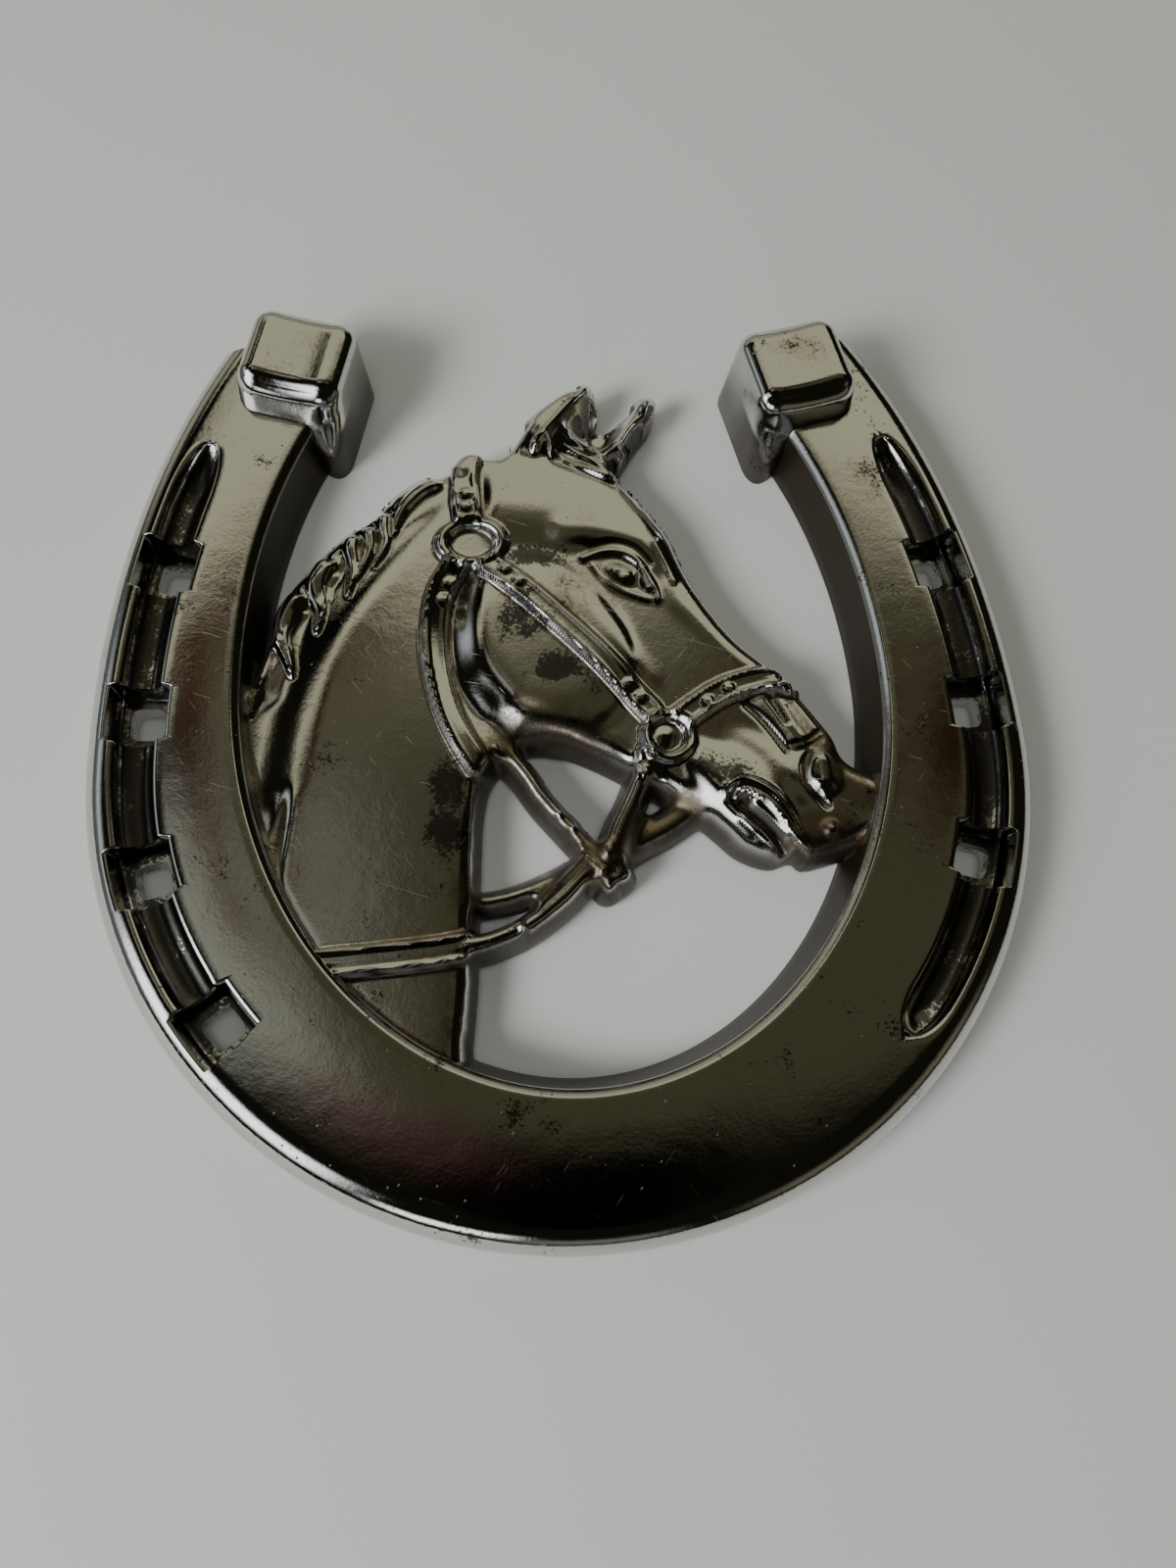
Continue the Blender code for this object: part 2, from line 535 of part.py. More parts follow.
def build_figure():
    """Head, neck and halter: a fine grid cut to the outline, raised, and given walls and a flat back."""
    outline = body_outline()
    middle = 0.5 * (outline.min(axis=0) + outline.max(axis=0))
    half_size = 0.5 * np.ptp(outline, axis=0).max() + GRID_STEP
    count = int(2.0 * half_size / GRID_STEP)
    bm = bmesh.new()
    bmesh.ops.create_grid(bm, x_segments=count, y_segments=count, size=half_size)
    bmesh.ops.translate(bm, verts=bm.verts, vec=(*middle, 0.0))
    middles = np.array([face.calc_center_median()[:2] for face in bm.faces])
    _, depth = carve_figure(middles[:, 0], middles[:, 1])
    outside = [face for face, inside in zip(bm.faces, depth > 0.0) if not inside]
    bmesh.ops.delete(bm, geom=outside, context="FACES")
    part_pinches(bm)
    rim = [vert for vert in bm.verts if vert.is_boundary]
    place = np.array([vert.co[:2] for vert in rim])
    for _ in range(4):
        _, here = carve_figure(place[:, 0], place[:, 1])
        _, right = carve_figure(place[:, 0] + 0.05, place[:, 1])
        _, up = carve_figure(place[:, 0], place[:, 1] + 0.05)
        slope = np.stack([right - here, up - here], axis=1) / 0.05
        size = np.maximum((slope ** 2).sum(axis=1, keepdims=True), 0.2)
        place -= 0.8 * here[:, None] * slope / size
    for vert, spot in zip(rim, place):
        vert.co = (spot[0], spot[1], 0.0)
    inner = [vert for vert in bm.verts if not vert.is_boundary]
    for _ in range(2):
        bmesh.ops.smooth_vert(bm, verts=inner, factor=0.5, use_axis_x=True, use_axis_y=True)
    flat = np.array([vert.co[:2] for vert in bm.verts])
    height, _ = carve_figure(flat[:, 0], flat[:, 1])
    rise = np.maximum(height, FIGURE_EDGE)
    x, y = figure_scale(flat[:, 0], flat[:, 1])
    for vert, place_x, place_y, top in zip(bm.verts, x, y, rise):
        vert.co = (MM * place_x, MM * place_y, MM * top)
    edges = [edge for edge in bm.edges if edge.is_boundary]
    walls = bmesh.ops.extrude_edge_only(bm, edges=edges)
    lower = [part for part in walls["geom"] if isinstance(part, bmesh.types.BMVert)]
    for vert in lower:
        vert.co.z = MM * BACK_RISE
    bottom = [part for part in walls["geom"] if isinstance(part, bmesh.types.BMEdge)]
    bmesh.ops.triangle_fill(bm, edges=bottom, use_beauty=True, normal=(0.0, 0.0, -1.0))
    bmesh.ops.recalc_face_normals(bm, faces=bm.faces)
    return bm


def build_strap(points, width, top):
    """A free strap with a round back and a flat underside, swept along its middle line."""
    line = spline(points, parts=2)
    line = np.stack(figure_scale(line[:, 0], line[:, 1]), axis=1)
    half = width / 2.0
    profile = [(-half, STRAP_BACK), (-half, STRAP_EDGE), (-0.5 * half, 0.2 * STRAP_EDGE + 0.8 * top), (0.0, top),
               (0.5 * half, 0.2 * STRAP_EDGE + 0.8 * top), (half, STRAP_EDGE), (half, STRAP_BACK)]
    bm = bmesh.new()
    rows = []
    for place, run in zip(line, np.gradient(line, axis=0)):
        across = np.array([-run[1], run[0]]) / np.hypot(*run)
        rows.append([bm.verts.new([MM * v for v in (*(place + a * across), z)]) for a, z in profile])
    for row, next_row in zip(rows[:-1], rows[1:]):
        for place in range(len(row)):
            add_strip_face(bm, row + row[:1], next_row + next_row[:1], place)
    for row in (rows[0], rows[-1]):
        bm.faces.new(row)
    bmesh.ops.recalc_face_normals(bm, faces=bm.faces)
    return bm


def build_joint():
    """The knob where the three free straps meet."""
    bm = bmesh.new()
    x, y = figure_scale(*np.array(LEAD[0]))
    bmesh.ops.create_uvsphere(bm, u_segments=12, v_segments=8, radius=1.0)
    bmesh.ops.scale(bm, verts=bm.verts, vec=(MM * RING_RADIUS, MM * RING_RADIUS, MM * (JOINT_TOP - STRAP_EDGE)))
    bmesh.ops.translate(bm, verts=bm.verts, vec=(MM * float(x), MM * float(y), MM * STRAP_EDGE))
    below = bm.verts[:] + bm.edges[:] + bm.faces[:]
    cut = bmesh.ops.bisect_plane(bm, geom=below, plane_co=(0.0, 0.0, MM * BACK_RISE), plane_no=(0.0, 0.0, -1.0),
                                 clear_outer=True)
    rim = [part for part in cut["geom_cut"] if isinstance(part, bmesh.types.BMEdge)]
    bmesh.ops.holes_fill(bm, edges=rim, sides=0)
    return bm


def as_object(bm, name, material=None):
    mesh = bpy.data.meshes.new(name)
    bm.to_mesh(mesh)
    bm.free()
    made = bpy.data.objects.new(name, mesh)
    bpy.context.scene.collection.objects.link(made)
    if material:
        mesh.materials.append(material)
    return made


def combine(target, other, operation):
    """Apply a Boolean and remove the object that was joined or cut away."""
    step = target.modifiers.new("shape", "BOOLEAN")
    step.operation = operation
    step.solver = "EXACT"
    step.object = other
    graph = bpy.context.evaluated_depsgraph_get()
    result = bpy.data.meshes.new_from_object(target.evaluated_get(graph))
    target.modifiers.remove(step)
    target.data = result
    bpy.data.objects.remove(other, do_unlink=True)


def plated_metal():
    """Worn bright plating on a die-cast body."""
    material = bpy.data.materials.new("worn_chrome_plate")
    material.use_nodes = True
    shader = material.node_tree.nodes["Principled BSDF"]
    shader.inputs["Base Color"].default_value = (0.46, 0.45, 0.42, 1.0)
    shader.inputs["Metallic"].default_value = 1.0
    shader.inputs["Roughness"].default_value = 0.16
    return material


def centre_on_base(made):
    """Move the mesh so that the middle of its footprint is at the origin."""
    corners = np.array([vert.co for vert in made.data.vertices])
    middle = 0.5 * (corners.min(axis=0) + corners.max(axis=0))
    for vert in made.data.vertices:
        vert.co.x -= middle[0]
        vert.co.y -= middle[1]


def main():
    for old in list(bpy.data.objects):
        bpy.data.objects.remove(old, do_unlink=True)
    casting = as_object(build_shoe(), "horse_brass", plated_metal())
    combine(casting, as_object(build_hole_cutters(), "punches"), "DIFFERENCE")
    for side in (-1.0, 1.0):
        combine(casting, as_object(build_heel(side), "heel"), "UNION")
    combine(casting, as_object(build_figure(), "figure"), "UNION")
    combine(casting, as_object(build_joint(), "joint"), "UNION")
    straps = [(FREE_THROAT_STRAP, FREE_STRAP_WIDTH, FREE_STRAP_TOP), (CHIN_STRAP, FREE_STRAP_WIDTH, FREE_STRAP_TOP),
              (LEAD, FREE_STRAP_WIDTH, LEAD_TOP), (UNDER_CHIN_STRAP, THIN_STRAP_WIDTH, THIN_STRAP_TOP),
              (LEAD_BACK, THIN_STRAP_WIDTH, THIN_STRAP_TOP)]
    for points, width, top in straps:
        combine(casting, as_object(build_strap(points, width, top), "strap"), "UNION")
    centre_on_base(casting)
    casting.data.shade_smooth()
    casting.data.set_sharp_from_angle(angle=math.radians(38.0))


main()
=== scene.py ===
"""A cast, chrome-plated horseshoe ornament with a haltered horse's head, dressed around its solid.

Design sizes are in millimetres in the solid's own drawing frame: the toe of the shoe points to -Y and
the outline is centred on X. as_object() moves a finished mesh to where the frame's solid lies, in metres.
"""

import math

import bmesh
import bpy
import numpy as np
from mathutils import Matrix, Vector


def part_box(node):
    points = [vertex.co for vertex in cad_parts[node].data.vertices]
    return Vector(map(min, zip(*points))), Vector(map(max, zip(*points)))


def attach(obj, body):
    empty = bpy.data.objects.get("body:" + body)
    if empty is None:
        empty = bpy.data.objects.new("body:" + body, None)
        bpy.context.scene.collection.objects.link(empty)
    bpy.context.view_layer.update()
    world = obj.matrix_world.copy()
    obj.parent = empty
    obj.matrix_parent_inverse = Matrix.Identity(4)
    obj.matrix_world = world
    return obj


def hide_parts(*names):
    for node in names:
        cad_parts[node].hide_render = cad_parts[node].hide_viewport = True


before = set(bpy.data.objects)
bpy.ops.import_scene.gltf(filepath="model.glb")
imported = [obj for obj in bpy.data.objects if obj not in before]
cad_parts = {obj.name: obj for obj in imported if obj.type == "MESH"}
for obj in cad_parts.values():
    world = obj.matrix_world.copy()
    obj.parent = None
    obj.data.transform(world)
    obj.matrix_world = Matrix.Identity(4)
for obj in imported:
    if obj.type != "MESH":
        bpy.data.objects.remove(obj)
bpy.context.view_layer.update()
SOLID_LOW, SOLID_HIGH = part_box("horse_brass")

bl_info = {
    "name": "Plated horseshoe ornament",
    "version": (1, 0, 0),
    "blender": (4, 5, 0),
    "location": "3D view > Sidebar > Horseshoe",
    "description": "Models and finishes a cast horseshoe ornament with a haltered horse's head",
    "category": "Object",
}

MM = 0.001

# Shoe, seen from above; its half width comes from the frame and the rest is measured with it
SHOE_HALF_WIDTH = 0.5 * (SOLID_HIGH.x - SOLID_LOW.x) / MM
SHOE_CENTRE_Y = 2.6
SHOE_HEEL_REACH = 97.0
SHOE_HEEL_Y = 66.6
GAP_HALF_WIDTH = 44.0
GAP_CENTRE_Y = 12.0
GAP_TOE_DEPTH = 54.2
GAP_HEEL_REACH = 65.0
SHIFT_Y = SOLID_LOW.y / MM - (SHOE_CENTRE_Y - SHOE_HALF_WIDTH)

# Shoe, seen in section
SHOE_THICKNESS = 9.5
SHOULDER_WIDTH = 4.2
SHOULDER_HEIGHT = 4.2
CROWN = 0.2
EDGE_CHAMFER = 0.9
INNER_DRAFT = 1.8
FOOT_RADIUS = 0.45
GROOVE_INSET = 7.1
GROOVE_TAPER = 9.0
POCKET_WALL = 0.5
LEFT_NAILS = [53.2, 75.2, 97.2, 119.2]
LEFT_GROOVE = (53.2, 139.0)
RIGHT_NAILS = [72.2, 94.2, 116.2]
RIGHT_GROOVE = (45.1, 137.7)
# How square the hollows of groove and pockets are: 2 is round, and more is squarer
GROOVE_SQUARENESS = 2.2
POCKET_SQUARENESS = 9.0
LEAST_SWELL = 0.08       # share of the groove's width that is left where it ends
# Widest and narrowest step between the bar's sections
STATION_STEP = 1.1
LEAST_STEP = 0.07
RIM_DROP = 0.35          # share of the rim rounding by which the rims sink
HOLE_SQUARENESS = 5
# The small bevel on the inner edge: how far out from it and how far below the face
INNER_BEVEL = ((-0.12, 0.04), (0.06, 0.14), (0.45, 0.5), (0.72, 0.78), (0.86, 0.96), (0.92, 1.25))

# Heel blocks
HEEL_HEIGHT = 15.6
HEEL_LENGTH = 15.3
HEEL_WIDTH = 15.8
HEEL_ROUNDING = 3.0
HEEL_TOP_WIDTH = 14.8
HEEL_TOP_LENGTH = 14.8
HEEL_SADDLE = 0.9
HEEL_BULGE = 0.8
HEEL_SPREAD = 3.0
HEEL_SLOPE = 1.3
HEEL_CUTS = 23
HEEL_CROWDING = 0.8      # below 1 it crowds the cuts towards the edges
# Middle and turn in degrees of the left and the right block
HEELS = {-1.0: ((-36.1, 61.4), -15.0), 1.0: ((37.0, 58.5), 12.5)}

# Figure heights
FIGURE_BACK = 1.0
FIGURE_EDGE = 1.8
SIDE_WIDTH = 3.0
HEAD_SIDE_WIDTH = 4.6
EMBED = 3.0              # how far the figure reaches into the shoe's metal
NECK_TOP = 7.3
HEAD_TOP = 7.1
LOW_WALL = 0.12
POLL_WALL = 0.6
EAR_WALL = 0.7

# Outline of head and neck, from the neck's foot round the muzzle and the ears to the mane
THROAT = [(-14.6, -36.0), (-13.6, -27.5), (-12.8, -14.5), (-11.9, -4.3), (-10.0, 0.5), (-6.1, 3.5),
          (-1.3, 3.3), (4.0, 1.0), (11.5, -3.6), (16.7, -7.2), (19.4, -9.6), (22.5, -12.6),
          (26.6, -14.3), (29.8, -13.6), (32.4, -14.7)]
PROFILE = [(39.3, 0.0), (37.6, 4.2), (33.1, 11.2), (29.3, 15.5), (24.9, 20.1), (20.0, 28.4), (16.6, 36.8),
           (9.5, 46.8)]
FAR_EAR = [(10.7, 48.4), (13.4, 52.6), (15.7, 55.5), (16.5, 57.9), (15.9, 59.3), (13.8, 58.7), (11.0, 56.6),
           (7.9, 55.4)]
NEAR_EAR = [(7.6, 57.4), (6.9, 60.5), (5.8, 61.1), (3.8, 60.1), (0.3, 58.1), (-2.5, 56.1), (-4.7, 52.9),
            (-8.3, 49.6)]
CREST = [(-12.7, 50.0), (-15.9, 47.5), (-19.1, 46.9), (-23.0, 44.4), (-26.6, 40.9), (-30.3, 38.3),
         (-34.1, 34.8), (-38.2, 30.2), (-40.6, 26.5), (-41.6, 21.0), (-44.5, 14.6)]
JAW = [(-11.5, 49.0), (-13.0, 40.6), (-14.4, 31.9), (-15.6, 21.2), (-14.4, 13.4), (-10.4, 7.6), (-7.0, 3.0)]

# Free straps: middle line, width, top
FREE_STRAPS = {
    "throat": ([(-11.4, 6.0), (-6.9, 1.1), (-4.0, -3.5), (-0.7, -7.7), (3.9, -13.4)], 4.2, 6.6),
    "chin": ([(12.4, 4.2), (10.0, -0.7), (8.2, -4.6), (6.2, -8.3), (4.4, -12.4)], 4.6, 8.0),
    "lead": ([(2.6, -13.0), (-0.7, -16.5), (-4.0, -19.2), (-7.9, -21.6), (-11.8, -23.0), (-16.8, -24.0),
              (-23.0, -24.5), (-35.3, -25.0), (-41.0, -24.6)], 4.2, 7.6),
    "under chin": ([(4.4, -12.6), (9.2, -10.0), (12.8, -8.3), (16.6, -6.0)], 4.5, 5.2),
    "chin web": ([(8.6, -7.6), (11.7, -7.3), (14.6, -5.4), (15.6, -3.0)], 3.6, 4.6),
    "back": ([(-15.5, -17.6), (-9.7, -17.0), (-5.0, -15.6), (1.0, -12.9)], 3.8, 5.0),
}
KNOB = [((4.0, -13.6), 3.2), ((6.0, -14.8), 2.2), ((4.2, -16.2), 2.0)]
KNOB_TOP = 7.6
ROD_ROUNDING = 1.5

# Laid straps: middle line, width, rise, and the rise of the bead along its left and right edge
LAID_STRAPS = {
    "crown": ([(-12.5, 37.8), (-12.7, 42.4), (-12.7, 45.8), (-11.4, 50.5)], 4.0, 1.0, 0.2, 0.2),
    "cheek": ([(-9.6, 30.4), (-3.8, 24.9), (3.6, 17.1), (7.9, 11.9), (11.4, 7.5)], 3.8, 0.9, 0.3, 0.75),
    "nose": ([(15.6, 6.2), (18.6, 8.2), (21.0, 9.6), (24.0, 10.8), (27.8, 11.5), (31.8, 10.8)],
             3.8, 0.9, 0.4, 0.5),
    "throat": ([(-14.6, 30.6), (-16.8, 26.4), (-17.7, 21.1), (-17.6, 15.5), (-16.3, 9.2), (-14.4, 4.4),
                (-12.4, 0.8)], 3.7, 1.3, 0.2, 0.8),
    "lead": ([(-9.0, -22.1), (-11.8, -23.0), (-16.8, -24.0), (-23.0, -24.5), (-35.3, -25.0), (-41.0, -24.6)],
             3.9, 1.1, 0.5, 0.5),
}
BEAD_INSET = 0.55
BEAD_WIDTH = 0.6

# Rings: centre, half sizes of the wire's middle line, wire half width
RINGS = [((-12.1, 34.3), (4.2, 3.1), 0.95), ((13.6, 3.7), (3.15, 3.05), 0.85)]
RING_RISE = 1.1
RING_DISH = 0.25
STUDS = [(-12.7, 41.9), (-12.8, 39.8), (-7.6, 29.3), (-5.8, 27.2), (-15.3, 27.8), (-16.1, 25.2), (8.7, 11.2),
         (10.1, 9.4), (19.4, 8.4), (22.5, 10.2)]
STUD_RADIUS = 1.0
STUD_RISE = 0.6
STUD_DIMPLE = 0.2
STITCHES = [(9.7, 1.6), (11.0, 1.2), (8.8, -1.2), (10.1, -1.6)]

# Broad forms, smoothed together: middle line, reach, rise
NECK_SHOULDER = [(-9.0, 50.0), (-17.0, 40.0), (-22.5, 34.0), (-28.0, 27.5), (-32.5, 20.5), (-35.5, 11.0),
                 (-37.5, 0.0)]
NECK_FALL = 1.7
MANE_BASE = [(-41.5, 14.0), (-39.3, 20.5), (-37.8, 26.0), (-33.5, 31.6), (-28.5, 36.0), (-23.5, 40.4),
             (-17.5, 44.4)]
THROAT_HOLLOW = [(-14.4, 28.0), (-15.9, 21.0), (-15.6, 14.6), (-13.0, 9.0), (-9.5, 5.0)]
ROUND_FORMS = [([(-5.0, 21.0), (-1.5, 15.5)], 11.5, 1.3)]
BROAD_HEAD = [
    ([(-7.0, 41.0), (4.0, 39.0), (11.0, 36.0)], 10.5, 0.9),
    ([(1.0, 35.8), (6.0, 35.4), (10.5, 34.0), (13.6, 31.2), (15.6, 27.8)], 3.0, 0.3),
    ([(4.5, 30.6), (8.4, 29.2), (12.2, 26.2)], 4.6, -0.5),
    ([(4.9, 24.9), (8.9, 17.4), (11.7, 12.6)], 4.0, 0.35),
    ([(12.9, 20.2), (18.6, 14.8)], 4.2, -0.8),
    ([(15.8, 25.5), (22.0, 18.5), (26.4, 14.6)], 3.6, 0.5),
    ([(23.0, -2.0), (27.5, -4.0)], 9.0, 1.2),
    ([(17.4, 0.6), (19.3, -3.2), (21.4, -7.2), (25.2, -11.6)], 3.2, 0.9),
    ([(19.6, 3.4), (25.6, -0.4), (30.4, -7.4)], 2.6, -0.35),
    ([(-7.4, 8.4), (-0.8, 5.6), (6.0, 3.6)], 2.2, 0.5),
    ([(0.8, 29.6), (3.4, 28.8), (6.0, 27.2)], 2.4, 0.4),
]
EAR_ROLLS = [([(-3.8, 50.4), (0.2, 55.0), (4.4, 59.6)], 9.4, 9.0),
             ([(9.6, 49.0), (12.4, 53.8), (15.0, 57.8)], 6.8, 7.6),
             ([(2.0, 52.6), (5.8, 50.2), (9.0, 46.0)], 8.6, 6.0)]
EAR_FOOT = (47.0, 52.0)

# Fine carving, laid on last: middle line, reach, rise and, where it tapers, the reach at its end
FINE_FORMS = {
    "eye": [
        ([(8.2, 29.0), (9.5, 28.2)], 2.1, 0.9),
        ([(8.9, 28.7), (9.0, 28.6)], 0.8, -0.3),
        ([(3.6, 31.3), (6.3, 32.2), (9.0, 32.0), (11.2, 30.7), (12.6, 28.6), (13.6, 26.3), (13.9, 24.4)],
         0.8, 0.5),
        ([(4.8, 33.0), (8.3, 33.5), (11.3, 32.4), (13.3, 30.0)], 0.7, -0.25),
        ([(5.0, 30.3), (6.3, 28.1), (8.3, 26.5), (10.5, 25.4), (12.6, 24.6)], 0.8, 0.35),
        ([(11.6, 29.0), (12.7, 26.4)], 1.2, 0.4),
        ([(14.1, 33.7), (14.9, 31.6), (15.8, 29.2), (16.5, 27.2)], 0.7, 0.3),
    ],
    "nostril": [
        ([(21.8, -5.4), (23.3, -6.9), (26.1, -9.4), (28.1, -12.2)], 1.7, -2.0),
        ([(20.6, -5.4), (21.2, -3.9), (22.8, -3.0), (25.0, -3.7), (27.2, -5.2), (28.6, -7.2), (30.0, -9.9),
          (31.3, -13.4)], 0.9, 0.65),
        ([(22.0, -5.4), (23.4, -4.7), (25.8, -5.9), (27.8, -8.2), (29.3, -10.7), (30.6, -13.0)], 0.6, 0.8),
        ([(24.4, -6.6), (26.4, -8.4), (28.4, -10.9)], 0.6, 0.8),
        ([(22.6, -8.4), (24.6, -10.6), (26.9, -12.6)], 0.8, 0.5),
    ],
    "nose": [
        ([(27.9, 8.8), (29.8, 5.9), (31.8, 2.6)], 2.3, 0.5),
        ([(24.8, 8.1), (26.6, 6.1), (28.4, 3.6), (29.9, 1.0)], 0.7, -0.45),
        ([(28.4, 8.8), (29.3, 7.0), (30.2, 5.0)], 0.9, -0.6, 0.4),
        ([(30.7, 1.9), (32.8, 2.4), (34.8, 3.7)], 0.45, -0.25),
        ([(31.2, 1.0), (33.2, 1.6), (35.2, 2.9)], 0.45, -0.25),
        ([(34.4, -0.8), (34.6, -3.4)], 3.0, 1.3),
        ([(33.0, 0.6), (31.9, -1.6), (32.2, -3.8), (34.6, -7.0)], 0.7, -0.6),
        ([(34.5, -10.3), (34.6, -10.5)], 1.6, 0.7),
        ([(28.6, 10.0), (31.2, 10.6)], 1.0, 0.6),
    ],
    "near ear": [
        ([(8.2, 56.2), (7.6, 54.0), (6.4, 52.6)], 4.6, -2.6),
        ([(-2.2, 49.6), (-0.6, 51.8), (1.0, 53.7), (3.1, 56.1), (5.3, 58.2), (6.3, 59.3)], 0.9, 0.7),
        ([(-2.4, 49.0), (-1.9, 50.9), (-0.6, 50.8), (-0.7, 49.2)], 0.7, 0.5),
    ],
    "far ear": [
        ([(13.0, 55.9), (11.0, 54.3), (9.0, 52.4)], 2.0, -1.0),
        ([(15.0, 56.6), (14.2, 54.6), (12.4, 52.0), (10.7, 49.4)], 0.8, 0.35),
    ],
    "forelock": [
        ([(3.0, 51.4), (5.4, 49.6), (8.0, 45.8)], 3.0, 0.6),
        ([(2.9, 52.7), (5.6, 50.4), (8.0, 47.2), (9.2, 44.9)], 0.6, 0.5),
        ([(1.2, 50.9), (3.8, 49.6), (6.4, 47.3), (8.5, 44.8)], 0.6, 0.5),
        ([(0.9, 49.6), (2.8, 47.9), (5.4, 46.2), (8.1, 44.4)], 0.6, 0.45),
        ([(0.3, 48.4), (2.8, 46.5), (5.6, 44.9), (9.0, 43.2)], 0.7, -0.4),
    ],
    "crown cap": [([(-13.4, 46.6), (-12.0, 48.6), (-9.4, 49.0)], 2.4, 0.7)],
    "neck edge": [([(-13.6, 0.0), (-13.8, -10.0), (-14.6, -21.0), (-15.0, -34.0)], 0.8, 0.2)],
    "mane drop": [([(-40.0, 20.4), (-41.0, 18.4), (-41.8, 13.9), (-43.0, 10.0)], 1.3, 0.7, 0.4)],
    "free straps": [
        ([(-10.2, 3.6), (-8.1, -0.2), (-4.9, -4.8), (-1.2, -9.6), (0.6, -11.2)], 0.8, 0.45),
        ([(-1.8, -6.1), (-1.7, -6.2)], 0.8, 0.45),
        ([(-0.1, -8.1), (0.0, -8.2)], 0.8, 0.45),
        ([(3.4, -14.6), (2.0, -16.0), (-2.2, -19.6), (-6.8, -22.9), (-9.2, -23.9)], 0.65, 0.4),
        ([(1.2, -12.2), (-2.7, -15.9), (-6.1, -18.8), (-9.4, -20.6)], 0.65, 0.4),
        ([(1.2, -12.2), (3.4, -14.6)], 0.6, 0.4),
        ([(4.0, -11.2), (4.3, -12.2)], 1.6, 0.6),
        ([(6.0, -12.4), (7.3, -14.0), (6.6, -16.2), (4.4, -17.2), (2.6, -16.6)], 0.9, 0.5),
        ([(4.9, -14.6), (5.0, -14.8)], 1.0, -0.5),
    ],
}

# Mane: every lock's middle line and half width at its root, then its strands
LOCKS = [
    ([(-36.4, 28.6), (-37.7, 25.4), (-38.7, 22.8), (-38.8, 20.6), (-38.1, 18.2), (-37.4, 15.2)], 1.9,
     [[(-36.6, 27.0), (-38.3, 24.7), (-39.3, 22.5), (-39.3, 20.2), (-38.2, 17.8), (-37.6, 15.8)],
      [(-35.8, 24.7), (-37.6, 22.4), (-38.2, 20.6), (-37.6, 18.3), (-37.1, 16.4)]]),
    ([(-32.4, 33.8), (-33.6, 31.2), (-34.2, 29.2), (-34.0, 26.8), (-33.7, 24.4), (-34.0, 21.6)], 1.8,
     [[(-31.3, 32.1), (-32.6, 31.2), (-33.3, 29.3), (-33.0, 26.9), (-33.2, 24.1), (-33.9, 21.8)],
      [(-31.6, 30.4), (-32.4, 28.6), (-32.4, 26.6)]]),
    ([(-28.8, 37.2), (-29.3, 35.2), (-29.0, 32.8), (-29.0, 30.4), (-29.6, 27.0)], 1.3, []),
    ([(-26.9, 38.2), (-26.6, 36.2), (-26.6, 34.0), (-27.6, 31.4), (-28.4, 29.4)], 1.1, []),
    ([(-24.6, 40.4), (-24.6, 37.6), (-24.3, 35.6), (-24.8, 33.6), (-26.0, 31.4)], 1.1, []),
    ([(-16.0, 45.0), (-19.4, 43.4), (-21.6, 41.0), (-22.7, 38.6), (-23.2, 36.2)], 1.4,
     [[(-16.0, 44.4), (-18.7, 43.0), (-20.7, 41.1), (-22.0, 39.1), (-22.9, 36.7)],
      [(-22.4, 43.0), (-23.2, 41.2), (-23.2, 39.0)]]),
]
LOCK_RISE = 1.0
STRAND_REACH = 0.5
STRAND_RISE = 0.3
CARVING_SOFTENING = 1
FINE_FADE = 1.4          # the fine carving fades out over this width at the rim
# Drawing the mesh's rim to the outline: rounds, longest move and distance of the test points;
# then the rounds that spread the cells inside
RIM_STEPS = 12
RIM_STEP = 0.12
PROBE = 0.02
SPREAD_STEPS = 6

# Camera: above the toe, looking down at the middle of the shoe, and rolled as the photo is
CAMERA_PLACE = (-9.881, -49.614, 158.0)
CAMERA_AIM = (2.781, -0.212, 0.0)
CAMERA_ROLL = 11.165
CAMERA_LENS = 27.0


def linear(code):
    """An sRGB hex colour as linear red, green, blue and alpha."""
    parts = [int(code[place:place + 2], 16) / 255.0 for place in (1, 3, 5)]
    return [part / 12.92 if part <= 0.04045 else ((part + 0.055) / 1.055) ** 2.4 for part in parts] + [1.0]


def smooth(low, high, value):
    """Go from 0 at low to 1 at high without a corner."""
    share = np.clip((value - low) / (high - low), 0.0, 1.0)
    return share * share * (3.0 - 2.0 * share)


def rounded(depth, reach):
    """A quarter round: 0 at an edge, 1 from reach inwards."""
    share = np.clip(depth / reach, 0.0, 1.0)
    return np.sqrt(1.0 - (1.0 - share) ** 2)


def spline(points, closed=False, parts=6):
    """A smooth line through the points."""
    given = np.array(points, dtype=float)
    count = len(given)
    if count < 3:
        return given
    line = []
    for span in range(count if closed else count - 1):
        if closed:
            a, b, c, d = (given[(span + k) % count] for k in (-1, 0, 1, 2))
        else:
            b = given[span]
            c = given[span + 1]
            a = given[span - 1] if span > 0 else 2.0 * b - c
            d = given[span + 2] if span + 2 < count else 2.0 * c - b
        for t in np.arange(parts) / parts:
            line.append(0.5 * (2.0 * b + (c - a) * t + (2.0 * a - 5.0 * b + 4.0 * c - d) * t ** 2
                               + (3.0 * b - a - 3.0 * c + d) * t ** 3))
    if not closed:
        line.append(given[-1])
    return np.array(line)


